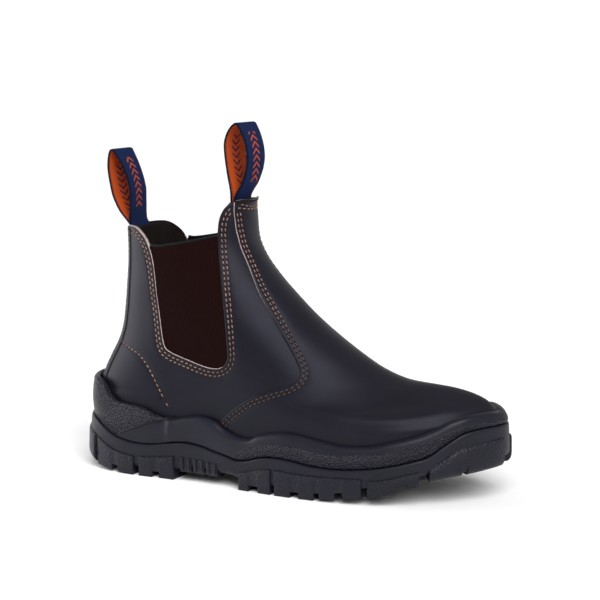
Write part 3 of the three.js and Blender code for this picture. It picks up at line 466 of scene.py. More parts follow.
topLine = sideLine([  # collar back, down the gore's back edge, along its foot and up to the ear
    [0.085, 1.0], [0.113, 1.004], [0.135, 1.006], [0.15, 1.001], [0.165, 0.985], [0.179, 0.962],
    [0.19, 0.93], [0.2005, 0.88], [0.209, 0.8], [0.2155, 0.7], [0.221, 0.62], [0.226, 0.562],
    [0.234, 0.526], [0.25, 0.509], [0.275, 0.495], [0.3, 0.483], [0.325, 0.471], [0.35, 0.463],
    [0.373, 0.465], [0.389, 0.48], [0.397, 0.505], [0.3975, 0.53], [0.3945, 0.58], [0.39, 0.64],
    [0.382, 0.72], [0.3725, 0.8], [0.364, 0.87], [0.3575, 0.93], [0.354, 0.986], [0.354, 1.02],
    [0.3565, 1.053], [0.3625, 1.082], [0.3705, 1.102], [0.379, 1.114], [0.388, 1.122], [0.398, 1.127],
    [0.41, 1.13],
])
goreTopLine = sideLine([[0.194, 0.938], [0.21, 0.936], [0.25, 0.947], [0.3, 0.965], [0.356, 0.987]])
vampLine = sideLine([
    [0.381, 1.117], [0.3806, 1.083], [0.3825, 1.0465], [0.3867, 0.9935], [0.3981, 0.9255],
    [0.4336, 0.8106], [0.461, 0.7362], [0.5077, 0.6248], [0.542, 0.5432], [0.5589, 0.4979],
    [0.5655, 0.4753], [0.5655, 0.4528], [0.557, 0.4327], [0.54, 0.4165], [0.505, 0.395],
    [0.462, 0.364], [0.428, 0.325], [0.4, 0.285], [0.378, 0.24], [0.362, 0.19],
])
counterSeam = sideLine([[0.082, 0.535], [0.1, 0.524], [0.13, 0.508], [0.158, 0.49], [0.18, 0.462],
                        [0.2, 0.42], [0.218, 0.37], [0.235, 0.315], [0.247, 0.28]])

# soft forms of the leather in side view: x, z, along, up, depth (below 0 is a trough), turn
leatherForms = [
    [150.0, 118.0, 26.0, 12.0, -0.7, 0.7], [176.0, 92.0, 22.0, 10.0, -0.35, 0.8],
    [60.0, 120.0, 12.0, 30.0, -0.5, 0.0], [307.0, 52.0, 20.0, 17.0, -3.4, 0.0],
    [287.0, 74.0, 26.0, 9.0, -0.8, 0.0], [34.0, 150.0, 12.0, 24.0, -0.8, 0.0],
    [85.0, 66.0, 24.0, 10.0, 0.4, 0.0],
]


def leatherShape(points):
    lift = np.zeros(len(points))
    for x, z, along, up, depth, turn in leatherForms:
        dx, dz = points[:, 0] - x, points[:, 2] - z
        a, b = dx * math.cos(turn) - dz * math.sin(turn), dx * math.sin(turn) + dz * math.cos(turn)
        lift += depth * np.exp(-((a / along) ** 2) - (b / up) ** 2)
    return lift


# seams: every sewn row is kept here as angle, level and lift, for the grooves and the thread
seam = {"first": 2.7, "second": 5.2, "groove": 0.42, "reach": 0.95}
sewnRows = []


def onPanel(t, v):
    return np.c_[t, v] * panelScale


def sewRow(t, v, lift, guides):
    for side in (1, -1):
        sewnRows.append((t * side, v, lift))
        if guides is not None:
            for offset in (-0.7, 0, 0.7):
                a, b = shiftCurve(t, v, offset) if offset else (t, v)
                guides.append(onPanel(a * side, b))


def seamGrooves(points):
    near, _ = nearestOn([surfacePoint(t, v) for t, v, _ in sewnRows], points)
    return -seam["groove"] * np.exp(-((near / seam["reach"]) ** 2))


# quarters: one sheet round the heel and on under the vamp, with the gore windows cut down
quarters = {"spacing": 2.4, "lowLevel": 0.06, "edge": 1.1, "edgeDrop": 0.55}
topFine = splineLine(topLine, 1.0)
topAngle, topLevel = sideToSurface(topFine[:, 0], topFine[:, 1])
keep = (topAngle > 0.12) & (topAngle < np.pi - 0.12)
topAngle, topLevel = topAngle[keep], topLevel[keep]
collarBackLevel = levelAt(boot["shaftHeight"], 0.0)
collarFrontLevel = levelAt(1.13 * boot["shaftHeight"], np.pi)
half = np.array([(0.0, collarBackLevel), *zip(-topAngle, topLevel), (-np.pi, collarFrontLevel)])
vampFine = splineLine(vampLine, 1.0)
vampAngle, vampLevel = sideToSurface(vampFine[:, 0], vampFine[:, 1])
counterFine = splineLine(counterSeam, 1.2)
counterAngle, counterLevel = sideToSurface(counterFine[:, 0], counterFine[:, 1])
counterRuns = [slice(2, int(np.sum(counterLevel > 0.1905))),  # above and below the feather line
               slice(int(np.sum(counterLevel > 0.1895)), None)]
print("lines laid on the last")

quarterGuides = []
for distance in (seam["first"], seam["second"]):
    a, b = shiftCurve(-topAngle, topLevel, -distance)
    p = surfacePoint(a, b)
    edgeX = np.interp(-p[:, 2], -vampFine[:40, 1], vampFine[:40, 0])
    shown = (np.abs(p[:, 1]) > 19) | (p[:, 0] > 60)
    shown &= (p[:, 0] < edgeX - 0.8) | (p[:, 2] < 120)
    sewRow(a[shown], b[shown], 0, quarterGuides)
for part in counterRuns:
    sewRow(-counterAngle[part], counterLevel[part], 0, quarterGuides)
for distance in (0.28, quarters["edge"]):
    a, b = shiftCurve(-topAngle, topLevel, -distance)
    for side in (1, -1):
        quarterGuides.append(onPanel(a * side, b))

other = half[::-1] * [-1, 1]
top = np.concatenate([half[::-1], other[::-1][1:]])
lowT = np.linspace(np.pi, -np.pi, 190)
down = np.linspace(collarFrontLevel, quarters["lowLevel"], 60)[1:]
loop = np.concatenate([top, np.c_[np.full(59, np.pi), down],
                       np.c_[lowT, np.full(190, quarters["lowLevel"])][1:],
                       np.c_[np.full(59, -np.pi), down[::-1]][1:]])
flat, tris = fillPanel(loop * panelScale, quarterGuides, quarters["spacing"])
quarterEdge = closer(surfacePoint(top[:, 0], top[:, 1]))


def quarterShape(t, v):
    p = surfacePoint(t, v)
    near, _ = nearestOn([quarterEdge], p)
    edgeDrop = -quarters["edgeDrop"] * np.clip(1 - near / quarters["edge"], 0, 1) ** 2
    return leatherShape(p) + seamGrooves(p) + edgeDrop


def quarterEdgeLook(points, reach):
    near, which = nearestOn([quarterEdge], points)
    at = quarterEdge[which]
    light = (at[:, 0] < 72) | ((at[:, 2] < 92) & (at[:, 0] < 119))
    light &= (at[:, 1] < 4) | (at[:, 2] < 162)  # the inner side of the collar is dark
    return np.where((near < reach) & light, 2, 0)


upperLeather = thickPanel("upperLeather", flat, tris, 0.0, -boot["wall"], quarterShape, closedToe=True,
                          edgeLook=quarterEdgeLook)
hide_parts("upper")
print("quarters", len(upperLeather.data.polygons))

# vamp: the front piece laps over the quarters and runs round the toe under the rim
vamp = {"outer": 1.25, "inner": 0.06, "lowLevel": 0.07, "spacing": 2.4, "edge": 1.1, "edgeDrop": 0.5}
vampRun = runLength(surfacePoint(-vampAngle, vampLevel))
vampShare = vampRun / vampRun[-1]
firstRow = np.interp(vampShare, [0, 0.15, 0.35, 0.5, 0.62, 1], [2.2, 2.4, 3.5, 2.8, 2.3, 2.3])
vampGuides = []
tabShown = surfacePoint(-vampAngle, vampLevel)[:, 2] < 184.5
for distance in (firstRow, firstRow + 2.4):
    a, b = shiftCurve(-vampAngle, vampLevel, distance)
    sewRow(a[tabShown], b[tabShown], vamp["outer"], vampGuides)
for height, dip, inFrom in ((189.6, 2.4, 0.13), (187.2, 1.7, 0.06)):  # two rows across the tab
    start = np.interp(-height, -vampFine[:40, 1], vampAngle[:40]) + inFrom
    a = np.linspace(start, 2 * np.pi - start, 60)
    b = np.array([levelAt(height - dip * math.sin((angle - start) / (np.pi - start) * np.pi / 2), angle)
                  for angle in a])
    sewnRows.append((-a, b, vamp["outer"]))
for distance in (0.28, vamp["edge"]):
    a, b = shiftCurve(-vampAngle, vampLevel, distance)
    for side in (1, -1):
        vampGuides.append(onPanel(a * side, b))


def toeFlat(points):  # the toe line is the middle of this flat
    t = points[:, 0] / panelScale[0]
    return np.c_[np.where(t < 0, t + np.pi, t - np.pi) * panelScale[0], points[:, 1]]


edge = toeFlat(onPanel(-vampAngle, vampLevel))
topT = np.linspace(edge[0, 0], -edge[0, 0], 30)[1:-1]
frontTop = topFine[topFine[:, 0] > 117]
frontAngle, frontLevel = sideToSurface(frontTop[:, 0], frontTop[:, 1])
topV = panelScale[1] * np.interp(np.abs(topT) / panelScale[0],
                                 (np.pi - frontAngle)[::-1], frontLevel[::-1])
lowT = np.linspace(-edge[-1, 0], edge[-1, 0], 170)
loop = np.concatenate([edge[::-1], np.c_[topT, topV], edge * [-1, 1],
                       np.c_[lowT, np.full(170, vamp["lowLevel"] * panelScale[1])][:-1]])
flat, tris = fillPanel(loop, [toeFlat(g) for g in vampGuides], vamp["spacing"])
flat = flat + [np.pi * panelScale[0], 0]
vampEdge = [closer(surfacePoint(side * vampAngle, vampLevel)) for side in (1, -1)]


def vampShape(t, v):
    p = surfacePoint(t, v)
    near, _ = nearestOn(vampEdge, p)
    return (leatherShape(p) + seamGrooves(p)
            - vamp["edgeDrop"] * np.clip(1 - near / vamp["edge"], 0, 1) ** 2)


def vampEdgeLook(points, reach):
    near, which = nearestOn(vampEdge, points)
    light = np.concatenate(vampEdge)[which][:, 2] > 104
    return np.where((near < reach) & light, 2, 0)


vampLeather = thickPanel("vampLeather", flat, tris, vamp["outer"], vamp["inner"], vampShape,
                         edgeLook=vampEdgeLook)
print("vamp", len(vampLeather.data.polygons))

# tab binding: dark band over the top of the front tab
binding = {"low": 190.4, "outer": 1.6, "inner": 1.1, "top": 0.004}
leftT = np.interp(-190.6, -vampFine[:40, 1], vampAngle[:40]) + 0.02
a = np.linspace(leftT, 2 * np.pi - leftT, 60)
topLevels = np.interp(np.minimum(a, 2 * np.pi - a), frontAngle, frontLevel) + binding["top"]
topLevels -= 0.007 * np.exp(-(((a - np.pi) / 0.3) ** 2))  # low in the middle
lowLevels = np.array([levelAt(binding["low"], angle) for angle in a])
loop = np.concatenate([np.c_[a, lowLevels], np.c_[a, topLevels][::-1]]) * panelScale
flat, tris = fillPanel(loop, [], 1.4)
bindingTop = [closer(surfacePoint(a, topLevels))]


def bindingShape(t, v):  # flares a little towards its top
    return 1.1 * np.clip((surfacePoint(t, v)[:, 2] - binding["low"]) / 3, 0, 1)


def bindingLook(points, reach):
    near, _ = nearestOn(bindingTop, points)
    return np.where(near < reach, 2, 0)


tabBinding = thickPanel("tabBinding", flat, tris, binding["outer"], binding["inner"], bindingShape,
                        edgeLook=bindingLook)

# gores: knitted elastic set a little under the leather's edge, with a dark hem along the top
gore = {"outer": -0.9, "inner": -2.2, "under": 3.0, "spacing": 1.6, "hem": 0.7, "hemLift": 0.12}
window = slice(int(np.argmax(topFine[keep][:, 0] > 59.5)), int(np.argmax(
    (topFine[keep][:, 0] > 100) & (topFine[keep][:, 1] > 168))) + 1)
windowAngle, windowLevel = topAngle[window], topLevel[window]
goreTop = splineLine(goreTopLine, 1.2)
goreTopAngle, goreTopLevel = sideToSurface(goreTop[:, 0], goreTop[:, 1])


def makeGore(name, side, node):
    a, b = shiftCurve(-windowAngle, windowLevel, -gore["under"])
    below = surfacePoint(a, b)[:, 2] < 167
    loop = np.concatenate([np.c_[a, b][below], np.c_[-goreTopAngle, goreTopLevel][::-1]])
    loop[:, 0] *= -side
    flat, tris = fillPanel(loop * panelScale, [], gore["spacing"])
    piece = thickPanel(name, flat, tris, gore["outer"], gore["inner"])
    t, v = flat[:, 0] / panelScale[0], flat[:, 1] / panelScale[1]
    p = surfacePoint(t, v)
    lean = np.interp(p[:, 2], [80, 165], [96, 85])
    setAttribute(piece, "across", np.tile(p[:, 0] - lean, 2))
    setAttribute(piece, "along", np.tile(p[:, 2], 2))
    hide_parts(node)
    hemAngle, hemLevel = goreTopAngle, goreTopLevel
    lowAngle, lowLevel = shiftCurve(-hemAngle, hemLevel, -gore["hem"])
    loop = np.concatenate([np.c_[-hemAngle, hemLevel + 0.004], np.c_[lowAngle, lowLevel][::-1]])
    loop[:, 0] *= -side
    flat, tris = fillPanel(loop * panelScale, [], gore["spacing"])
    return piece, thickPanel(name + "Hem", flat, tris, gore["outer"] + gore["hemLift"],
                             gore["inner"] - gore["hemLift"])


goreOuter, hemOuter = makeGore("goreLateral", -1, "gore_lateral")
goreInner, hemInner = makeGore("goreMedial", 1, "gore_medial")
print("gores")

# backstay: narrow strip down the back line
stay = {"outer": 0.75, "inner": -0.3, "low": 56.0, "rowAt": 14.0, "edge": 0.9,
        "half": [[50, 24.6], [60, 24.2], [70, 23.2], [80, 21.8], [90, 20.0], [100, 18.6], [110, 17.8],
                 [120, 17.4], [130, 17.8], [140, 18.5], [155, 19.2], [175, 19.6]]}
levels = np.linspace(levelAt(stay["low"], 0.0), collarBackLevel - 0.002, 110)


def backAngle(inward):  # angle of the strip's edge, or of a line inside it, at every level
    t = np.linspace(0, 1.3, 130)
    found = []
    for v in levels:
        at = surfacePoint(-t, np.full(130, v))
        found.append(np.interp(readTable(stay["half"], at[0, 2]) - inward, np.abs(at[:, 1]), t))
    return np.array(found)


edgeT, bevelT = backAngle(0), backAngle(0.6)
halfTurn = np.linspace(0, 1, 100)
rowT = np.array([np.interp(stay["rowAt"], -surfacePoint(-halfTurn, np.full(100, v))[:, 1], halfTurn)
                 for v in levels])
across = [np.linspace(edge[0], -edge[0], 26)[1:-1] for edge in (edgeT[::-1], edgeT)]
loop = np.concatenate([np.c_[-edgeT, levels], np.c_[-across[0], np.full(24, levels[-1])],
                       np.c_[edgeT, levels][::-1], np.c_[across[1], np.full(24, levels[0])]])
stayGuides = [onPanel(side * at, levels)[1:-1] for at in (bevelT, rowT) for side in (1, -1)]
flat, tris = fillPanel(loop * panelScale, stayGuides, 1.8)
stayEdge = [closer(surfacePoint(side * edgeT, levels)) for side in (1, -1)]
for side in (1, -1):
    sewnRows.append((side * rowT, levels, stay["outer"]))


def stayShape(t, v):
    p = surfacePoint(t, v)
    near, _ = nearestOn(stayEdge, p)
    return leatherShape(p) + seamGrooves(p) * 0.8 - 0.4 * np.clip(1 - near / stay["edge"], 0, 1) ** 2


backstay = thickPanel("backstayStrip", flat, tris, stay["outer"], stay["inner"], stayShape)
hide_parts("backstay")

# collar lining: suede bands inside the collar that cover the sewn ends of the loops
band = {"inner": 0.9, "under": 0.08, "cover": 4.9, "half": 14.5, "soft": 9.0, "tall": 27.0}


def liningBand(name, middle, reach):
    a = np.linspace(middle - reach, middle + reach, 61)
    fromMiddle = np.abs(wrapAngle(a))
    topV = np.interp(fromMiddle, np.abs(half[:, 0]), half[:, 1]) if middle == 0 else np.interp(
        np.pi - np.abs(wrapAngle(a)), np.pi - np.abs(half[::-1, 0]), half[::-1, 1])
    lowV = topV - band["tall"] / 190
    loop = np.concatenate([np.c_[a, lowV], np.c_[a, topV - 0.003][::-1]]) * panelScale
    flat, tris = fillPanel(loop, [], 2.0)

    def bandShape(t, v):
        p = surfacePoint(t, v)
        near = np.abs(p[:, 1])
        over = 1 - easeStep(band["half"], band["half"] + band["soft"], near)
        return -band["cover"] * over

    outer = -boot["wall"] - band["under"]
    return thickPanel(name, flat, tris, outer, outer - band["inner"], bandShape, innerShape=1.0)


liningBack = liningBand("liningBack", 0.0, 0.85)
liningFront = liningBand("liningFront", np.pi, 0.8)

# thread: every stitch is a small rounded bar that dips into the leather at both ends
thread = {
    "pitch": 3.7, "length": 2.5, "radius": 0.4, "rise": 0.04, "dip": 0.42, "slant": 0.12,
    "hole": 0.66, "holeTop": 0.07, "holeRim": 0.23, "holeDeep": 0.3,
}


def rowPlaces(t, v, first):  # even places along a sewn row, with the leather's own form there
    run = runLength(surfacePoint(t, v))
    count = int(run[-1] // thread["pitch"])
    at = (np.arange(first, count) + 0.5 * (1 - first)) * run[-1] / max(count, 1)
    st, sv = np.interp(at, run, t), np.interp(at, run, v)
    return run, at, st, sv, leatherShape(surfacePoint(st, sv)) - seam["groove"]


def stitchMesh(name, rows):
    sides, rings = 6, [(-1.0, 0.3), (-0.85, 0.85), (-0.4, 1.0), (0.4, 1.0), (0.85, 0.85), (1.0, 0.3)]
    points, faces = [], []
    for t, v, lift in rows:
        run, at, st, sv, form = rowPlaces(t, v, 0)
        ahead, behind = [surfacePoint(np.interp(at + d, run, t), np.interp(at + d, run, v))
                         for d in (0.5, -0.5)]
        centre = liftedPoint(st, sv, lift + form + thread["radius"] * 0.6 + thread["rise"])
        way = ahead - behind
        way /= np.linalg.norm(way, axis=1, keepdims=True)
        up = surfaceFrame(st, sv)[0]
        for c, w, u, b in zip(centre, way, up, np.cross(up, way)):
            w, b = w + b * thread["slant"], b - w * thread["slant"]
            start = len(points)
            for share, size in rings:
                middle = c + w * share * thread["length"] / 2 - u * thread["dip"] * share * share
                for a in 2 * np.pi * np.arange(sides) / sides:
                    out = b * math.cos(a) + u * math.sin(a)
                    points.append(middle + out * thread["radius"] * size)
            for r in range(len(rings) - 1):
                low, high = start + r * sides, start + (r + 1) * sides
                faces += [(low + k, high + k, high + (k + 1) % sides, low + (k + 1) % sides)
                          for k in range(sides)]
            faces.append(tuple(start + k for k in range(sides)))
            faces.append(tuple(start + (len(rings) - 1) * sides + k for k in range(sides))[::-1])
    return newMesh(name, points, faces)


def holeShadeMesh(name, rows):  # painted shade: near-black dimples where the thread goes down stand in for the shade inside the needle holes
    points, faces = [], []
    for t, v, lift in rows:
        _, _, st, sv, form = rowPlaces(t, v, 1)
        if len(st) == 0:
            continue
        centre = liftedPoint(st, sv, lift + form)
        up, dt, dv = surfaceFrame(st, sv)
        a = dt / np.linalg.norm(dt, axis=1, keepdims=True)
        for c, w, b, u in zip(centre, a, np.cross(up, a), up):
            start = len(points)
            points += [c + u * thread["holeTop"], c - u * thread["holeDeep"]]
            for turn in 2 * np.pi * np.arange(8) / 8:
                out = w * math.cos(turn) + b * math.sin(turn)
                points.append(c + u * thread["holeRim"] + out * thread["hole"])
            rim = [start + 2 + k for k in range(8)]
            faces += [(start, rim[k], rim[(k + 1) % 8]) for k in range(8)]
            faces += [(start + 1, rim[(k + 1) % 8], rim[k]) for k in range(8)]
    return newMesh(name, points, faces)


stitches = stitchMesh("stitching", sewnRows)
holes = holeShadeMesh("needleHoleShade", sewnRows)
print("stitches", len(stitches.data.polygons))

# sole layers: closed sections swept round the outline
soleStations = 280


def sweepSole(name, rings, stations):
    t = np.concatenate([-np.linspace(0, np.pi, stations + 1), np.linspace(np.pi, 0, stations + 1)[1:-1]])
    n = len(t)
    points = []
    for inset, height in rings:
        base = outlinePoint(t)[0]
        x, y, base = insetPoint(t, inset(t, base) if callable(inset) else inset)
        points.append(np.stack([x, y, height(t, base)], -1))
    faces = []
    k = np.arange(n)
    m = (k + 1) % n
    for r in range(len(rings) - 1):
        low, high = r * n, (r + 1) * n
        faces += list(zip(low + k, low + m, high + m, high + k))
    topStart = (len(rings) - 1) * n
    for j in range(stations):
        for start, flip in ((0, True), (topStart, False)):
            ids = []
            for q in (j, j + 1, (n - j - 1) % n, (n - j) % n):
                if start + q not in ids:
                    ids.append(start + q)
            faces.append(tuple(ids[::-1] if flip else ids))
    return newMesh(name, np.concatenate(points), faces), t


def tuck(base, by):
    return by * easeStep(0.93, 1, base / boot["length"])


# midsole: cup wall with a wave over the arch, a sunk grained panel and a rolled rim
midsole = {
    "panelSink": 1.0, "waveRise": 0.9, "edge": 0.6, "rollDown": 3.3, "rollDepth": 0.7, "rollWidth": 0.6,
    "toeTuck": 2.6,
}
waveLine = [
    [30, 25.6], [36.3, 27.3], [47.7, 32.0], [60.3, 37.1], [71.3, 40.3], [79.9, 42.8], [87.3, 44.6],
    [96, 46.5],
]
panelTop = [
    [126, 20.0], [129.5, 21.2], [137.1, 26.5], [144.5, 30.1], [151.8, 32.8], [161.5, 34.6],
    [173.2, 35.0], [182.5, 34.2], [188.5, 33.4], [199.6, 32.4], [210.5, 32.4], [223.2, 33.6],
    [237.3, 35.3], [250.9, 38.0], [261.9, 41.2], [270.8, 44.1], [279.4, 47.9], [286.1, 51.0],
    [292.5, 52.8], [298.5, 53.6], [310, 53.8],
]


def belowWave(base, z):  # 1 on the smooth wave piece, 0 on the grained heel
    under = easeStep(-0.4, 0.4, readTable(waveLine, base) - z) * easeStep(29, 31, base)
    return np.where(base < waveLine[-1][0], under, 1.0)


def onPanelArea(base, z):
    return easeStep(0.0, midsole["edge"], readTable(panelTop, base) - z) * easeStep(127, 129, base)


wallProfile = [[0, 1.9], [0.03, 1.1], [0.08, 0.65], [0.2, 0.2], [0.4, -0.2], [0.6, 0.0], [0.78, 0.45],
               [0.88, 1.1], [0.94, 2.0], [0.98, 3.1], [1.0, 4.2]]


def midsoleRings():
    w = boot["proud"]
    rings = [(w + 5.4, lambda t, b: bedHeight(b) - boot["trayFloor"] + 0.3),
             (w + 4.9, lambda t, b: grooveHeight(b) + 0.3),
             (w + 3.0, lambda t, b: grooveHeight(b) + 0.35)]
    shares = np.unique(np.r_[0, 0.015, 0.03, 0.05, np.linspace(0.08, 0.84, 44),
                             0.87, 0.9, 0.925, 0.95, 0.97, 0.985, 1.0])
    for h in shares:
        def height(t, b, h=h):
            low = grooveHeight(b) + 0.4
            return low + (rimHeight(b) - low) * h

        def inset(t, b, h=h):
            z = height(t, b)
            fade = easeStep(0.0, 0.06, h) * (1 - easeStep(0.86, 0.95, h))
            roll = (rimHeight(b) - midsole["rollDown"] - z) / midsole["rollWidth"]
            relief = (midsole["waveRise"] * (1 - belowWave(b, z))
                      + midsole["panelSink"] * onPanelArea(b, z)
                      + midsole["rollDepth"] * np.exp(-(roll**2)) * easeStep(150, 175, b))
            return (w + readTable(wallProfile, h) + tuck(b, midsole["toeTuck"] * (0.3 + h))
                    + relief * fade)
        rings.append((inset, height))
    for back, lean, down in ((5.0, 3.2, 0.1), (5.9, 3.6, 0.8), (6.4, 3.9, 3)):
        rings.append((lambda t, b, back=back, lean=lean: w + back + tuck(b, lean),
                      lambda t, b, down=down: rimHeight(b) - down))
    rings.append((boot["featherInset"] + 3.8, lambda t, b: bedHeight(b)))
    return rings


def closeRows(name, rows):
    rows = np.array(rows)
    n = rows.shape[1]
    k = np.arange(n)
    m = (k + 1) % n
    faces = []
    for i in range(len(rows) - 1):
        faces += list(zip(i * n + k, i * n + m, (i + 1) * n + m, (i + 1) * n + k))
    faces.append(tuple(range(n))[::-1])
    faces.append(tuple((len(rows) - 1) * n + q for q in range(n)))
    piece = newMesh(name, rows.reshape(-1, 3), faces)
    faceOutward(piece)
    return piece


def wallLine(rows, proud, step=1.2):  # line on the wall from the foot's length and height
    fine = splineLine(rows, step)
    t = np.arccos(np.clip(1 - 2 * fine[:, 0] / boot["length"], -1, 1))
    low = grooveHeight(fine[:, 0]) + 0.4
    h = np.clip((fine[:, 1] - low) / (rimHeight(fine[:, 0]) - low), 0, 1)
    inset = (boot["proud"] + readTable(wallProfile, h) - proud
             + tuck(fine[:, 0], midsole["toeTuck"] * (0.3 + h)))
    lines = []
    for side in (-1, 1):
        x, y, _ = insetPoint(side * t, inset)
        nx, ny = outlineNormal(side * t)
        lines.append((np.c_[x, y, fine[:, 1]], np.c_[nx, ny, np.zeros(len(nx))]))
    return lines


def beadMesh(name, lines, radius, sides=8):  # rounded bead let half into the rubber
    pieces = []
    for path, out in lines:
        way = np.gradient(path, axis=0)
        way /= np.linalg.norm(way, axis=1, keepdims=True)
        across = np.cross(way, out)
        taper = np.minimum(1, np.minimum(np.arange(len(path)), np.arange(len(path))[::-1]) / 4 + 0.15)
        rows = [path + (out * math.cos(a) + across * math.sin(a)) * radius * taper[:, None]
                for a in np.linspace(0, 2 * np.pi, sides, endpoint=False)]
        pieces.append(closeRows(name, np.stack(rows, 1)))
    return joinPieces(name, pieces)


midsoleBody, soleT = sweepSole("midsoleFoam", midsoleRings(), soleStations)
base = outlinePoint(soleT)[0]
points = np.array([v.co for v in midsoleBody.data.vertices]) * 1000 + boot["origin"]
base = np.tile(base, len(points) // len(base))
grained = (1 - belowWave(base, points[:, 2])) + onPanelArea(base, points[:, 2])
setAttribute(midsoleBody, "grain", np.clip(grained, 0, 1))
waveBead = beadMesh("waveBead", wallLine(waveLine[1:-2], -0.15), 0.6)
panelBead = beadMesh("panelBead", wallLine(panelTop[2:-1], -0.35), 0.5)
for bead in (waveBead, panelBead):
    setAttribute(bead, "grain", np.zeros(len(bead.data.vertices)))
midsoleBody = joinPieces("midsoleFoam", [midsoleBody, waveBead, panelBead])
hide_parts("midsole")
print("midsole", len(midsoleBody.data.polygons))

# outsole: smooth tray wall with grained lug blocks standing a little proud of it
outsole = {"tray": 4.5, "deep": 19.0, "bevel": 0.55, "rib": 0.9, "lobe": 1.9, "ribLow": 5.8,
           "heelEnd": 0.0535}


def flare(base):
    return boot["heelFlare"] * (1 - easeStep(0, 0.1, base / boot["length"]))


def outsoleRings():
    w = boot["proud"]
    rings = [(w + 2.5, lambda t, b: baseHeight(b)),
             (lambda t, b: w + 1.1 - flare(b) * 0.8, lambda t, b: baseHeight(b) + 0.7),
             (lambda t, b: w + 0.4 - flare(b), lambda t, b: baseHeight(b) + 1.8)]
    for h in (0.2, 0.35, 0.5, 0.62, 0.74, 0.84, 0.9):
        rings.append((lambda t, b, h=h: w - flare(b) * (1 - 0.8 * h) + 0.1 * h + tuck(b, 0.8 * h),
                      lambda t, b, h=h: baseHeight(b) * (1 - h) + grooveHeight(b) * h))
    for back, down in ((0.15, 1.0), (0.5, 0.35), (1.1, 0.05), (2.0, 0)):
        rings.append((lambda t, b, back=back: w + back + tuck(b, 0.8),
                      lambda t, b, down=down: grooveHeight(b) - down))
    rings += [(w + outsole["tray"], lambda t, b: grooveHeight(b)),
              (w + outsole["tray"] + 0.6, lambda t, b: bedHeight(b) - boot["trayFloor"])]
    return rings


outsoleBody, _ = sweepSole("outsoleRubber", outsoleRings(), soleStations)

# blocks along the edge as shares of the length, each with the notches cut in its foot
edgeBlocks = [
    [0.062, 0.166, [[0.107, 0.124]]], [0.181, 0.27, [[0.215, 0.234]]],
    [0.441, 0.521, [[0.466, 0.491]]], [0.532, 0.734, [[0.569, 0.591], [0.627, 0.64], [0.675, 0.694]]],
    [0.748, 0.852, [[0.807, 0.829]]],
]
toeBlock = [0.872, 0.995, [[0.931, 0.941]]]
shankLobes = [[0.292, 0.309], [0.326, 0.343], [0.36, 0.377]]  # each with two thin ribs
planLugs = [
    [[0.075, -0.13], [0.16, -0.15], [0.16, 0.15], [0.075, 0.13]],
    [[0.18, -0.15], [0.25, -0.16], [0.25, 0.14], [0.18, 0.15]],
    [[0.45, -0.24], [0.5, -0.25], [0.53, -0.04], [0.48, -0.02]],
    [[0.475, 0.02], [0.525, 0], [0.5, 0.17], [0.46, 0.14]],
    [[0.525, -0.27], [0.58, -0.29], [0.61, -0.04], [0.555, -0.03]],
    [[0.55, 0.01], [0.605, 0], [0.575, 0.22], [0.52, 0.2]],
    [[0.605, -0.3], [0.66, -0.3], [0.69, -0.04], [0.635, -0.03]],
    [[0.63, 0.01], [0.685, 0], [0.655, 0.26], [0.6, 0.24]],
    [[0.69, -0.3], [0.745, -0.28], [0.77, -0.03], [0.715, -0.03]],
    [[0.71, 0.01], [0.765, 0.01], [0.745, 0.27], [0.69, 0.27]],
    [[0.78, -0.26], [0.84, -0.22], [0.86, -0.03], [0.8, -0.03]],
    [[0.795, 0.02], [0.855, 0.02], [0.84, 0.23], [0.775, 0.26]],
]


def edgePoints(t):  # points set in from the outline by a distance, at a height
    x, y = outlinePoint(t)
    nx, ny = outlineNormal(t)
    return x, lambda inset, z: np.stack([x - nx * inset, y - ny * inset, z], -1)


def blockStations(start, end, notches, step=0.006):
    stations = [(s, 0.0) for s in np.linspace(start, end, max(3, int((end - start) / step)))]
    for a, b in notches:
        stations = [q for q in stations if not a - 0.001 < q[0] < b + 0.001]
        stations += [(a, 0.0), (a + 0.0004, 1.0), ((a + b) / 2, 1.0), (b - 0.0004, 1.0), (b, 0.0)]
    return np.array(sorted(stations)).T


def edgeBlock(side, start, end, notches, deep):
    s, cut = blockStations(start, end, notches)
    x, at = edgePoints(side * np.arccos(1 - 2 * s))
    low, top = treadHeight(x) + cut * boot["notch"], lugTop(x)
    return closeRows("block", np.stack([
        at(boot["proud"] + 3, top + 0.8), at(0, top - 0.2), at(0.3, low), at(deep, low),
        at(deep + 0.8, baseHeight(x) + 1.4), at(boot["proud"] + 3, baseHeight(x) + 1.4)], 1))


def shankLobe(side, first, second):
    blocks = []
    wide, thin = outsole["lobe"] / boot["length"], outsole["rib"] / boot["length"]
    for start, end, out, lift in ((first - wide, second + wide, 0.75, 0.0),
                                  (first - thin, first + thin, 0.1, 0.5),
                                  (second - thin, second + thin, 0.1, 0.5)):
        x, at = edgePoints(side * np.arccos(1 - 2 * np.linspace(start, end, 5)))
        low, top = treadHeight(x) + outsole["ribLow"] + lift, lugTop(x) + lift
        blocks.append(closeRows("block", np.stack([
            at(boot["proud"] + 3, top + 0.6), at(out + 0.2, top - 0.3), at(out, top - 1.2),
            at(out + 0.2, low + 2.4), at(out + 0.9, low + 0.8), at(out + 2.4, low), at(12, low),
            at(12.8, baseHeight(x) + 1.4),
            at(boot["proud"] + 3, baseHeight(x) + 1.4)], 1)))
    return blocks


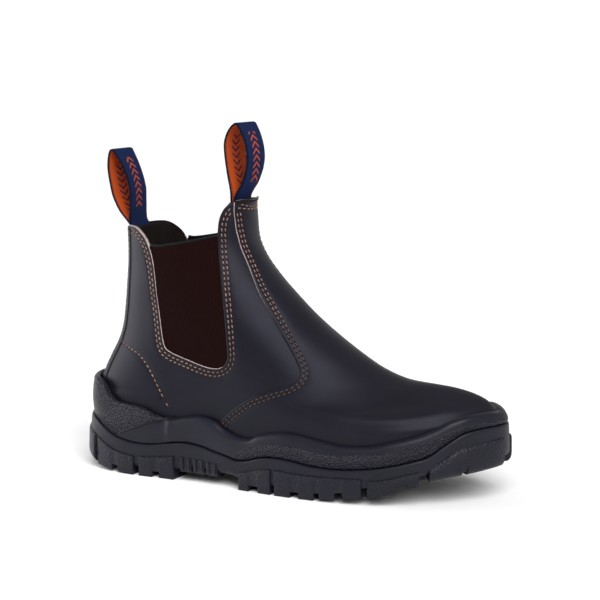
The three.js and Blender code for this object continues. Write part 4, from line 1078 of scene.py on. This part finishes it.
def endBlock(angles, cut, proud, deep):
    x, at = edgePoints(angles)
    low, top = treadHeight(x) + cut * boot["notch"] * 0.5, lugTop(x)
    return closeRows("block", np.stack([
        at(boot["proud"] + 3, top + 1.2), at(boot["proud"] + 0.4, top + 0.6),
        at(0.5 - proud * 0.4, top - 0.6), at(0.15 - proud * 0.8, top - 2.2), at(-proud, low + 7.5),
        at(0.15 - proud, low + 4.6), at(0.7 - proud, low + 2.6), at(1.7 - proud, low + 1.1),
        at(3.1 - proud, low + 0.25), at(5.0, low), at(deep, low), at(deep + 0.5, baseHeight(x) + 0.6),
        at(boot["proud"] + 3, baseHeight(x) + 1.5)], 1))


def planLug(corners, rise=0.8):
    p = np.array([[a * boot["length"], b * boot["ball"]] for a, b in corners])
    return closeRows("block", np.stack([np.c_[p, treadHeight(p[:, 0])],
                                        np.c_[p, baseHeight(p[:, 0]) + rise]]))


blocks = []
for side in (-1, 1):
    for start, end, notches in edgeBlocks:
        blocks.append(edgeBlock(side, start, end, notches, outsole["deep"]))
    for pair in shankLobes:
        blocks += shankLobe(side, *pair)
    s, cut = blockStations(*toeBlock)
    blocks.append(endBlock(side * np.arccos(1 - 2 * s), cut, 0.3, outsole["deep"] - 2))
heelTurn = math.acos(1 - 2 * outsole["heelEnd"])
blocks.append(endBlock(np.linspace(-heelTurn, heelTurn, 25), 0, boot["heelFlare"], outsole["deep"] / 2))
blocks += [planLug(corners) for corners in planLugs]
lugPiece = joinPieces("lugs", blocks)
bevelPiece(lugPiece, outsole["bevel"])
setAttribute(lugPiece, "grain", np.full(len(lugPiece.data.vertices), 0.4))
setAttribute(outsoleBody, "grain", np.full(len(outsoleBody.data.vertices), 0.08))
outsoleBody = joinPieces("outsoleRubber", [outsoleBody, lugPiece])
sharpEdges(outsoleBody, 50)
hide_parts("outsole")
print("outsole", len(outsoleBody.data.polygons))

# insole: bed inside, its edge rounded
insole = {"inset": 14.9}
insoleBody, _ = sweepSole("insoleBed", [
    (insole["inset"] + 1.4, lambda t, b: bedHeight(b) + 0.3),
    (insole["inset"] + 0.6, lambda t, b: bedHeight(b) + 2.4),
    (insole["inset"] + 0.5, lambda t, b: bedHeight(b) + 4.2),
    (insole["inset"] + 1.3, lambda t, b: bedHeight(b) + 4.8),
], 120)
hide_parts("insole")

# pull loops: webbing with beaded edges, navy outside and rust inside
loops = {
    "width": 25.0, "wall": 1.6, "tail": 26.0, "across": 14, "bead": 1.5, "untwist": 14.0,
    "frontRise": 50.0, "rearRise": 52.0, "frontTurns": (-0.06, -0.14), "rearTurns": (0.04, -0.16),
}
frontLoop = [
    [-0.02, -0.5, 1], [-0.02, -0.25, 1], [-0.015, 0, 1], [0.005, 0.1, 0.85],
    [0.03, 0.2, 0.6], [0.047, 0.35, 0.25], [0.053, 0.46, 0.08], [0.054, 0.56, 0],
    [0.046, 0.7, 0], [0.024, 0.84, 0], [-0.005, 0.955, 0], [-0.025, 1.01, 0], [-0.048, 1.0, 0],
    [-0.078, 0.93, 0], [-0.1, 0.84, 0], [-0.112, 0.73, 0], [-0.109, 0.6, 0],
    [-0.095, 0.42, 0.08], [-0.077, 0.27, 0.3], [-0.06, 0.14, 0.65], [-0.046, 0.02, 0.95],
    [-0.043, -0.2, 1], [-0.043, -0.45, 1],
]
rearLoop = [
    [0.033, -0.5, 1], [0.033, -0.25, 1], [0.031, -0.09, 0.9], [0.022, 0, 0.35],
    [0.016, 0.06, 0.03], [0.0145, 0.12, 0],
    [0.015, 0.18, 0], [0.017, 0.26, 0], [0.016, 0.36, 0], [0.015, 0.48, 0], [-0.01, 0.66, 0],
    [-0.045, 0.82, 0], [-0.088, 0.95, 0], [-0.112, 1.01, 0], [-0.13, 1.0, 0], [-0.139, 0.9, 0],
    [-0.137, 0.74, 0], [-0.122, 0.57, 0], [-0.1, 0.4, 0], [-0.065, 0.26, 0], [-0.034, 0.155, 0],
    [-0.011, 0.09, 0.05], [0.003, 0.03, 0.25], [0.0122, -0.05, 0.9], [0.0132, -0.2, 1],
    [0.0132, -0.45, 1],
]


def makeLoop(name, rows, anchor, rise, inward, turns, node):
    line = [[anchor[0] + r[0] * boot["shaftLength"],
             anchor[1] + (r[1] * 2 * loops["tail"] if r[1] < 0 else r[1] * rise), r[2]] for r in rows]
    fine = splineLine(line, 0.5)
    run = runLength(fine[:, :2])
    way = np.gradient(fine[:, :2], axis=0)
    way /= np.linalg.norm(way, axis=1, keepdims=True)
    u = np.sin(np.linspace(-np.pi / 2, np.pi / 2, loops["across"] + 1)) / 2
    ring = [(c, 1.0) for c in u] + [(c, -1.0) for c in u[::-1]]
    points, weave = [], []
    for i in range(len(fine)):
        turn = turns[0] + (turns[1] - turns[0]) * easeStep(0.4, 0.6, run[i] / run[-1])
        turn *= easeStep(0, loops["untwist"], fine[i, 1] - anchor[1])  # flat at the collar
        bead = 0.28 * abs(math.sin(math.pi * run[i] / loops["bead"]))
        for c, s in ring:
            y = c * (loops["width"] + bead * easeStep(0.4, 0.5, abs(c)))
            edge = 1 - 0.45 * easeStep(0.46, 0.5, abs(c))
            sag = inward * fine[i, 2] * y * y / 44 - turn * y * (1 - fine[i, 2])
            off = s * loops["wall"] / 2 * edge
            points.append((fine[i, 0] + sag + way[i, 1] * off, y, fine[i, 1] - way[i, 0] * off))
            weave.append((y, run[i], 1.0 if s > 0 else 0.0, run[i] / run[-1]))
    n = len(ring)
    k = np.arange(n)
    m = (k + 1) % n
    faces = []
    for i in range(len(fine) - 1):
        faces += list(zip(i * n + k, i * n + m, (i + 1) * n + m, (i + 1) * n + k))
    faces.append(tuple(range(n))[::-1])
    faces.append(tuple((len(fine) - 1) * n + q for q in range(n)))
    piece = newMesh(name, points, faces)
    for column, key in enumerate(("across", "along", "outside", "share")):
        setAttribute(piece, key, np.array(weave)[:, column])
    faceOutward(piece)
    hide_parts(node)
    return piece


frontAnchor = (0.4005 * boot["length"] - boot["wall"], boot["shaftHeight"] * 1.13)
rearAnchor = (0.1 * boot["length"] + boot["wall"], boot["shaftHeight"])
loopFront = makeLoop("pullLoopFront", frontLoop, frontAnchor, loops["frontRise"], -1,
                     loops["frontTurns"], "pull_loop_front")
loopRear = makeLoop("pullLoopRear", rearLoop, rearAnchor, loops["rearRise"], 1,
                    loops["rearTurns"], "pull_loop_rear")
print("loops")


# materials
class NodeKit:
    def __init__(self, name):
        self.material = bpy.data.materials.new(name)
        self.material.use_nodes = True
        self.tree = self.material.node_tree
        self.tree.nodes.clear()
        self.output = self.tree.nodes.new("ShaderNodeOutputMaterial")
        self.shader = self.tree.nodes.new("ShaderNodeBsdfPrincipled")
        self.tree.links.new(self.shader.outputs[0], self.output.inputs["Surface"])
        self.place = self.tree.nodes.new("ShaderNodeTexCoord").outputs["Object"]

    def link(self, a, b):
        self.tree.links.new(a, b)

    def node(self, kind, **values):
        made = self.tree.nodes.new(kind)
        for key, value in values.items():
            setattr(made, key, value)
        return made

    def fill(self, socket, value):
        if hasattr(value, "is_output"):
            self.link(value, socket)
        elif isinstance(value, tuple):
            socket.default_value = (*value, 1)
        else:
            socket.default_value = value

    def noise(self, scale, detail=4, roughness=0.55):
        made = self.node("ShaderNodeTexNoise")
        made.inputs["Scale"].default_value = scale
        made.inputs["Detail"].default_value = detail
        made.inputs["Roughness"].default_value = roughness
        self.link(self.place, made.inputs["Vector"])
        return made.outputs["Fac"]

    def cells(self, scale, feature="F1"):
        made = self.node("ShaderNodeTexVoronoi", feature=feature)
        made.inputs["Scale"].default_value = scale
        self.link(self.place, made.inputs["Vector"])
        return made.outputs["Distance"]

    def attribute(self, name):
        made = self.node("ShaderNodeAttribute")
        made.attribute_name = name
        return made.outputs["Fac"]

    def maths(self, operation, *values):
        made = self.node("ShaderNodeMath", operation=operation)
        for socket, value in zip(made.inputs, values):
            self.fill(socket, value)
        return made.outputs[0]

    def ramp(self, source, stops):
        made = self.node("ShaderNodeValToRGB")
        while len(made.color_ramp.elements) < len(stops):
            made.color_ramp.elements.new(0.5)
        for element, (place, colour) in zip(made.color_ramp.elements, stops):
            element.position = place
            element.color = (*colour, 1)
        self.link(source, made.inputs["Fac"])
        return made.outputs["Color"]

    def span(self, source, low, high):  # 0 to 1 onto a range
        made = self.node("ShaderNodeMapRange")
        self.link(source, made.inputs[0])
        made.inputs[3].default_value = low
        made.inputs[4].default_value = high
        return made.outputs[0]

    def byHeight(self, low, high, lean=0.0):  # 0 below one height, 1 above the other, in metres
        split = self.node("ShaderNodeSeparateXYZ")
        self.link(self.place, split.inputs[0])
        height = self.maths("MULTIPLY_ADD", split.outputs[0], -lean, split.outputs[2])
        made = self.node("ShaderNodeMapRange")
        self.link(height, made.inputs[0])
        made.inputs[1].default_value = low
        made.inputs[2].default_value = high
        return made.outputs[0]

    def mix(self, share, a, b):
        made = self.node("ShaderNodeMix", data_type="RGBA")
        for socket, value in ((made.inputs[0], share), (made.inputs[6], a), (made.inputs[7], b)):
            self.fill(socket, value)
        return made.outputs[2]

    def set(self, **values):
        for key, value in values.items():
            self.fill(self.shader.inputs[key.replace("_", " ")], value)

    def bumps(self, layers):
        normal = None
        for height, strength, distance in layers:
            made = self.node("ShaderNodeBump")
            made.inputs["Strength"].default_value = strength
            made.inputs["Distance"].default_value = distance
            self.link(height, made.inputs["Height"])
            if normal is not None:
                self.link(normal, made.inputs["Normal"])
            normal = made.outputs["Normal"]
        self.link(normal, self.shader.inputs["Normal"])


def oiledLeather():
    kit = NodeKit("oiledLeather")
    kit.set(Base_Color=kit.ramp(kit.noise(14, 5, 0.6), [
        (0.3, (0.0065, 0.0062, 0.0100)), (0.55, (0.0090, 0.0085, 0.0130)),
        (0.8, (0.0125, 0.0112, 0.0150))]))
    kit.set(Roughness=kit.span(kit.noise(30, 4), 0.38, 0.52),
            Specular_IOR_Level=0.16, Specular_Tint=(0.80, 0.80, 1.0))
    kit.bumps([(kit.cells(520), 0.12, 0.0002), (kit.noise(900, 3), 0.1, 0.0001),
               (kit.noise(60, 3), 0.06, 0.0008)])
    return kit.material


def rawLeatherEdge(name, darkBelow):  # the cut edge is darker towards the foot
    kit = NodeKit(name)
    pale = kit.ramp(kit.noise(500, 4), [(0.3, (0.26, 0.20, 0.19)), (0.7, (0.54, 0.44, 0.42))])
    kit.set(Base_Color=kit.mix(kit.byHeight(*darkBelow), (0.035, 0.029, 0.029), pale))
    kit.set(Roughness=0.85, Specular_IOR_Level=0.2)
    kit.bumps([(kit.noise(1200, 2), 0.3, 0.0002)])
    return kit.material


def brownSuede(name, dark, light):
    kit = NodeKit(name)
    kit.set(Base_Color=kit.ramp(kit.noise(80, 5), [(0.3, dark), (0.7, light)]))
    kit.set(Roughness=0.95, Specular_IOR_Level=0.15)
    kit.bumps([(kit.noise(1500, 3), 0.25, 0.0002)])
    return kit.material


def copperThread():
    kit = NodeKit("copperThread")
    paleThread = kit.ramp(kit.noise(420, 3), [(0.3, (0.15, 0.078, 0.053)), (0.7, (0.36, 0.21, 0.145))])
    # the thread is darker low on the boot and towards the toe
    kit.set(Base_Color=kit.mix(kit.byHeight(0.09, 0.135, 0.9), (0.075, 0.042, 0.033), paleThread))
    kit.set(Roughness=0.7, Specular_IOR_Level=0.25)
    kit.bumps([(kit.noise(2600, 2), 0.4, 0.0002)])
    return kit.material


def knittedElastic():
    kit = NodeKit("knittedElastic")
    across, along = kit.attribute("across"), kit.attribute("along")
    rib = kit.maths("SINE", kit.maths("MULTIPLY", across, 2 * math.pi / 1.0))
    knit = kit.maths("SINE", kit.maths("MULTIPLY", along, 2 * math.pi / 0.9))
    height = kit.maths("ADD", kit.maths("MULTIPLY", rib, 0.8), kit.maths("MULTIPLY", knit, 0.3))
    # painted shade: the knit is painted darker in the low places of its ribs and loops
    colour = kit.ramp(kit.maths("MULTIPLY_ADD", height, 0.3, 0.5),
                      [(0.15, (0.0048, 0.0014, 0.0014)), (0.85, (0.0145, 0.0036, 0.0036))])
    fuzz = kit.maths("MULTIPLY", kit.noise(260, 3), 0.5)
    kit.set(Base_Color=kit.mix(fuzz, colour, (0.008, 0.0022, 0.0022)))
    kit.set(Roughness=0.95, Specular_IOR_Level=0.05)
    kit.bumps([(height, 0.5, 0.0003), (kit.noise(900, 3), 0.25, 0.0002)])
    return kit.material


def goreHem():
    kit = NodeKit("goreHem")
    kit.set(Base_Color=kit.ramp(kit.noise(600, 3), [(0.3, (0.002, 0.0023, 0.0034)),
                                                    (0.7, (0.005, 0.006, 0.0085))]))
    kit.set(Roughness=0.6, Specular_IOR_Level=0.15)
    kit.bumps([(kit.noise(1500, 2), 0.3, 0.0002)])
    return kit.material


def soleRubber(name, dark, light):
    kit = NodeKit(name)
    grain = kit.attribute("grain")
    height = kit.maths("MULTIPLY", kit.cells(820), grain)
    kit.set(Base_Color=kit.ramp(kit.noise(40, 4), [(0.3, dark), (0.75, light)]))
    kit.set(Roughness=kit.maths("MULTIPLY_ADD", grain, -0.1, 0.44),
            Specular_IOR_Level=kit.maths("MULTIPLY_ADD", grain, -0.02, 0.24))
    kit.bumps([(height, 1.0, 0.001), (kit.noise(700, 3), 0.06, 0.0002)])
    return kit.material


def wovenWebbing():
    kit = NodeKit("wovenWebbing")
    across, along = kit.attribute("across"), kit.attribute("along")
    warp = kit.maths("SINE", kit.maths("MULTIPLY", across, 2 * math.pi / 1.1))
    weft = kit.maths("SINE", kit.maths("MULTIPLY", along, 2 * math.pi / 0.9))
    weave = kit.maths("MULTIPLY", warp, weft)
    # painted shade: navy and rust are both painted darker in the low places of the weave
    shade = kit.maths("MULTIPLY_ADD", weave, 0.5, 0.5)
    navy = kit.mix(shade, (0.004, 0.009, 0.040), (0.010, 0.020, 0.075))
    rust = kit.mix(shade, (0.34, 0.05, 0.009), (0.54, 0.095, 0.018))
    # woven chevrons down the middle of the strap
    wide, share = kit.maths("ABSOLUTE", across), kit.attribute("share")
    slanted = kit.maths("ADD", along, kit.maths("MULTIPLY", wide, 0.75))
    chevron = kit.maths("FRACT", kit.maths("MULTIPLY", slanted, 1 / 4.6))
    middle = kit.maths("ABSOLUTE", kit.maths("SUBTRACT", share, 0.515))
    mark = kit.maths("LESS_THAN", chevron, 0.36)
    for side, value, limit in (("LESS_THAN", wide, 4.6), ("GREATER_THAN", share, 0.24),
                               ("GREATER_THAN", middle, 0.055), ("LESS_THAN", share, 0.8)):
        mark = kit.maths("MULTIPLY", mark, kit.maths(side, value, limit))
    outer = kit.mix(kit.maths("MULTIPLY", mark, 0.85), navy, rust)
    inner = kit.mix(kit.maths("MULTIPLY", mark, 0.9), rust, navy)
    colour = kit.mix(kit.maths("GREATER_THAN", kit.attribute("outside"), 0.5), inner, outer)
    # serged edge with a dark notch every turn of its thread
    notch = kit.maths("LESS_THAN", kit.maths("FRACT", kit.maths("MULTIPLY", along, 1 / 1.5)), 0.45)
    serged = kit.maths("MULTIPLY", kit.maths("GREATER_THAN", wide, 11.1), notch)
    serged = kit.maths("MAXIMUM", serged, kit.maths("GREATER_THAN", wide, 12.1))
    kit.set(Base_Color=kit.mix(serged, colour, (0.004, 0.005, 0.014)))
    kit.set(Roughness=0.9, Specular_IOR_Level=0.08)
    kit.bumps([(weave, 0.5, 0.0003)])
    return kit.material


leather, copper = oiledLeather(), copperThread()
rawEdge = rawLeatherEdge("rawLeatherEdge", (0.02, 0.05))
frontEdge = rawLeatherEdge("frontLeatherEdge", (0.112, 0.16))
lining = brownSuede("liningSuede", (0.005, 0.0034, 0.003), (0.011, 0.007, 0.006))
tabSuede = brownSuede("tabSuede", (0.006, 0.0055, 0.006), (0.014, 0.0115, 0.011))
bedFoam = brownSuede("bedFabric", (0.030, 0.021, 0.017), (0.060, 0.043, 0.034))
elastic, hemLook = knittedElastic(), goreHem()
rubberLow = soleRubber("outsoleRubberLook", (0.0056, 0.0054, 0.0112), (0.0090, 0.0086, 0.0170))
rubberHigh = soleRubber("midsoleRubberLook", (0.0058, 0.0056, 0.0116), (0.0094, 0.0090, 0.0176))
webbing = wovenWebbing()

looks = [
    (upperLeather, [leather, lining, rawEdge], "leather"),
    (vampLeather, [leather, leather, frontEdge], "leather"),
    (tabBinding, [tabSuede, tabSuede, rawEdge], "leather"),
    (goreOuter, [elastic, elastic, elastic], "elastic"),
    (goreInner, [elastic, elastic, elastic], "elastic"),
    (hemOuter, [hemLook, hemLook, hemLook], "elastic"),
    (hemInner, [hemLook, hemLook, hemLook], "elastic"),
    (backstay, [leather, leather, hemLook], "leather"),
    (liningBack, [lining, lining, lining], "leather"),
    (liningFront, [lining, lining, lining], "leather"),
    (stitches, [copper], "leather"),
    # the needle holes take the near-black hem colour as painted shade
    (holes, [hemLook], "leather"),
    (midsoleBody, [rubberHigh], "midsole_rubber"),
    (outsoleBody, [rubberLow], "outsole_rubber"),
    (insoleBody, [bedFoam], "insole_lining"),
    (loopFront, [webbing], "webbing"),
    (loopRear, [webbing], "webbing"),
]
for piece, materials, slotName in looks:
    for material in materials:
        piece.data.materials.append(material)
    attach(piece, "root")
print("materials")

# floor, light and camera
studio = {
    "leftLight": (10, (-1.15, -0.3, 0.3), (0.9, 0.9)), "floor": 0.97,
    "softSun": (3.6, 0.85, (0.435, -0.557, 0.707)),
    "horizon": 1.06, "sky": 0.36, "near": 0.42,
    "azimuth": 23.6, "elevation": 8.6, "distance": 1.2, "lens": 105.12, "aim": (160.0, 0.0, 124.0),
}


def areaLight(name, watts, place, size, target=(0, 0, 0.1)):
    data = bpy.data.lights.new(name, "AREA")
    data.energy = watts
    data.shape = "RECTANGLE"
    data.size, data.size_y = size
    light = bpy.data.objects.new(name, data)
    bpy.context.scene.collection.objects.link(light)
    light.location = place
    light.rotation_euler = (Vector(target) - Vector(place)).to_track_quat("-Z", "Y").to_euler()


areaLight("leftLight", *studio["leftLight"])
sunData = bpy.data.lights.new("softSun", "SUN")  # keeps the floor white far behind the boot
sunData.energy, sunData.angle = studio["softSun"][:2]
sun = bpy.data.objects.new("softSun", sunData)
bpy.context.scene.collection.objects.link(sun)
sun.rotation_euler = Vector(studio["softSun"][2]).to_track_quat("Z", "Y").to_euler()

floorMesh = bpy.data.meshes.new("studioFloor")
floorMesh.from_pydata([(-40, -40, 0), (40, -40, 0), (40, 40, 0), (-40, 40, 0)], [], [(0, 1, 2, 3)])
floor = bpy.data.objects.new("studioFloor", floorMesh)
bpy.context.scene.collection.objects.link(floor)
floorKit = NodeKit("paleFloor")
floorKit.set(Base_Color=(studio["floor"],) * 3, Roughness=0.8, Specular_IOR_Level=0.2)
floor.data.materials.append(floorKit.material)

world = bpy.data.worlds.new("studioWorld")
world.use_nodes = True
tree = world.node_tree
background = tree.nodes["Background"]
direction = tree.nodes.new("ShaderNodeTexCoord")
parts = tree.nodes.new("ShaderNodeSeparateXYZ")
tree.links.new(direction.outputs["Generated"], parts.inputs[0])
dome = tree.nodes.new("ShaderNodeMapRange")  # white round the horizon, greyer overhead
dome.interpolation_type = "SMOOTHSTEP"
facing = tree.nodes.new("ShaderNodeMapRange")  # darker on the side that the picture is taken from
facing.interpolation_type = "SMOOTHSTEP"
both = tree.nodes.new("ShaderNodeMath")
both.operation = "MULTIPLY"
for made, source, values in ((dome, 2, (0.08, 0.45, studio["horizon"], studio["sky"])),
                             (facing, 1, (-0.2, 0.35, studio["near"], 1))):
    for socket, value in zip(made.inputs[1:5], values):
        socket.default_value = value
    tree.links.new(parts.outputs[source], made.inputs[0])
tree.links.new(dome.outputs[0], both.inputs[0])
tree.links.new(facing.outputs[0], both.inputs[1])
tree.links.new(both.outputs[0], background.inputs[1])
background.inputs[0].default_value = (1, 1, 1, 1)
bpy.context.scene.world = world
bpy.context.scene.view_settings.view_transform = "Standard"

azimuth, elevation = math.radians(studio["azimuth"]), math.radians(studio["elevation"])
away = Vector((math.sin(azimuth) * math.cos(elevation), -math.cos(azimuth) * math.cos(elevation),
               math.sin(elevation)))
cameraData = bpy.data.cameras.new("camera")
cameraData.lens = studio["lens"]
cameraData.sensor_width = 36
camera = bpy.data.objects.new("camera", cameraData)
bpy.context.scene.collection.objects.link(camera)
camera.location = Vector(toScene([studio["aim"]])[0]) + away * studio["distance"]
camera.rotation_mode = "QUATERNION"
camera.rotation_quaternion = (-away).to_track_quat("-Z", "Y")
bpy.context.scene.camera = camera

total = 0
for piece, *_ in looks:
    triangles = sum(len(p.vertices) - 2 for p in piece.data.polygons)
    total += triangles
    print("triangles", piece.name, triangles)
print("triangles in all", total)
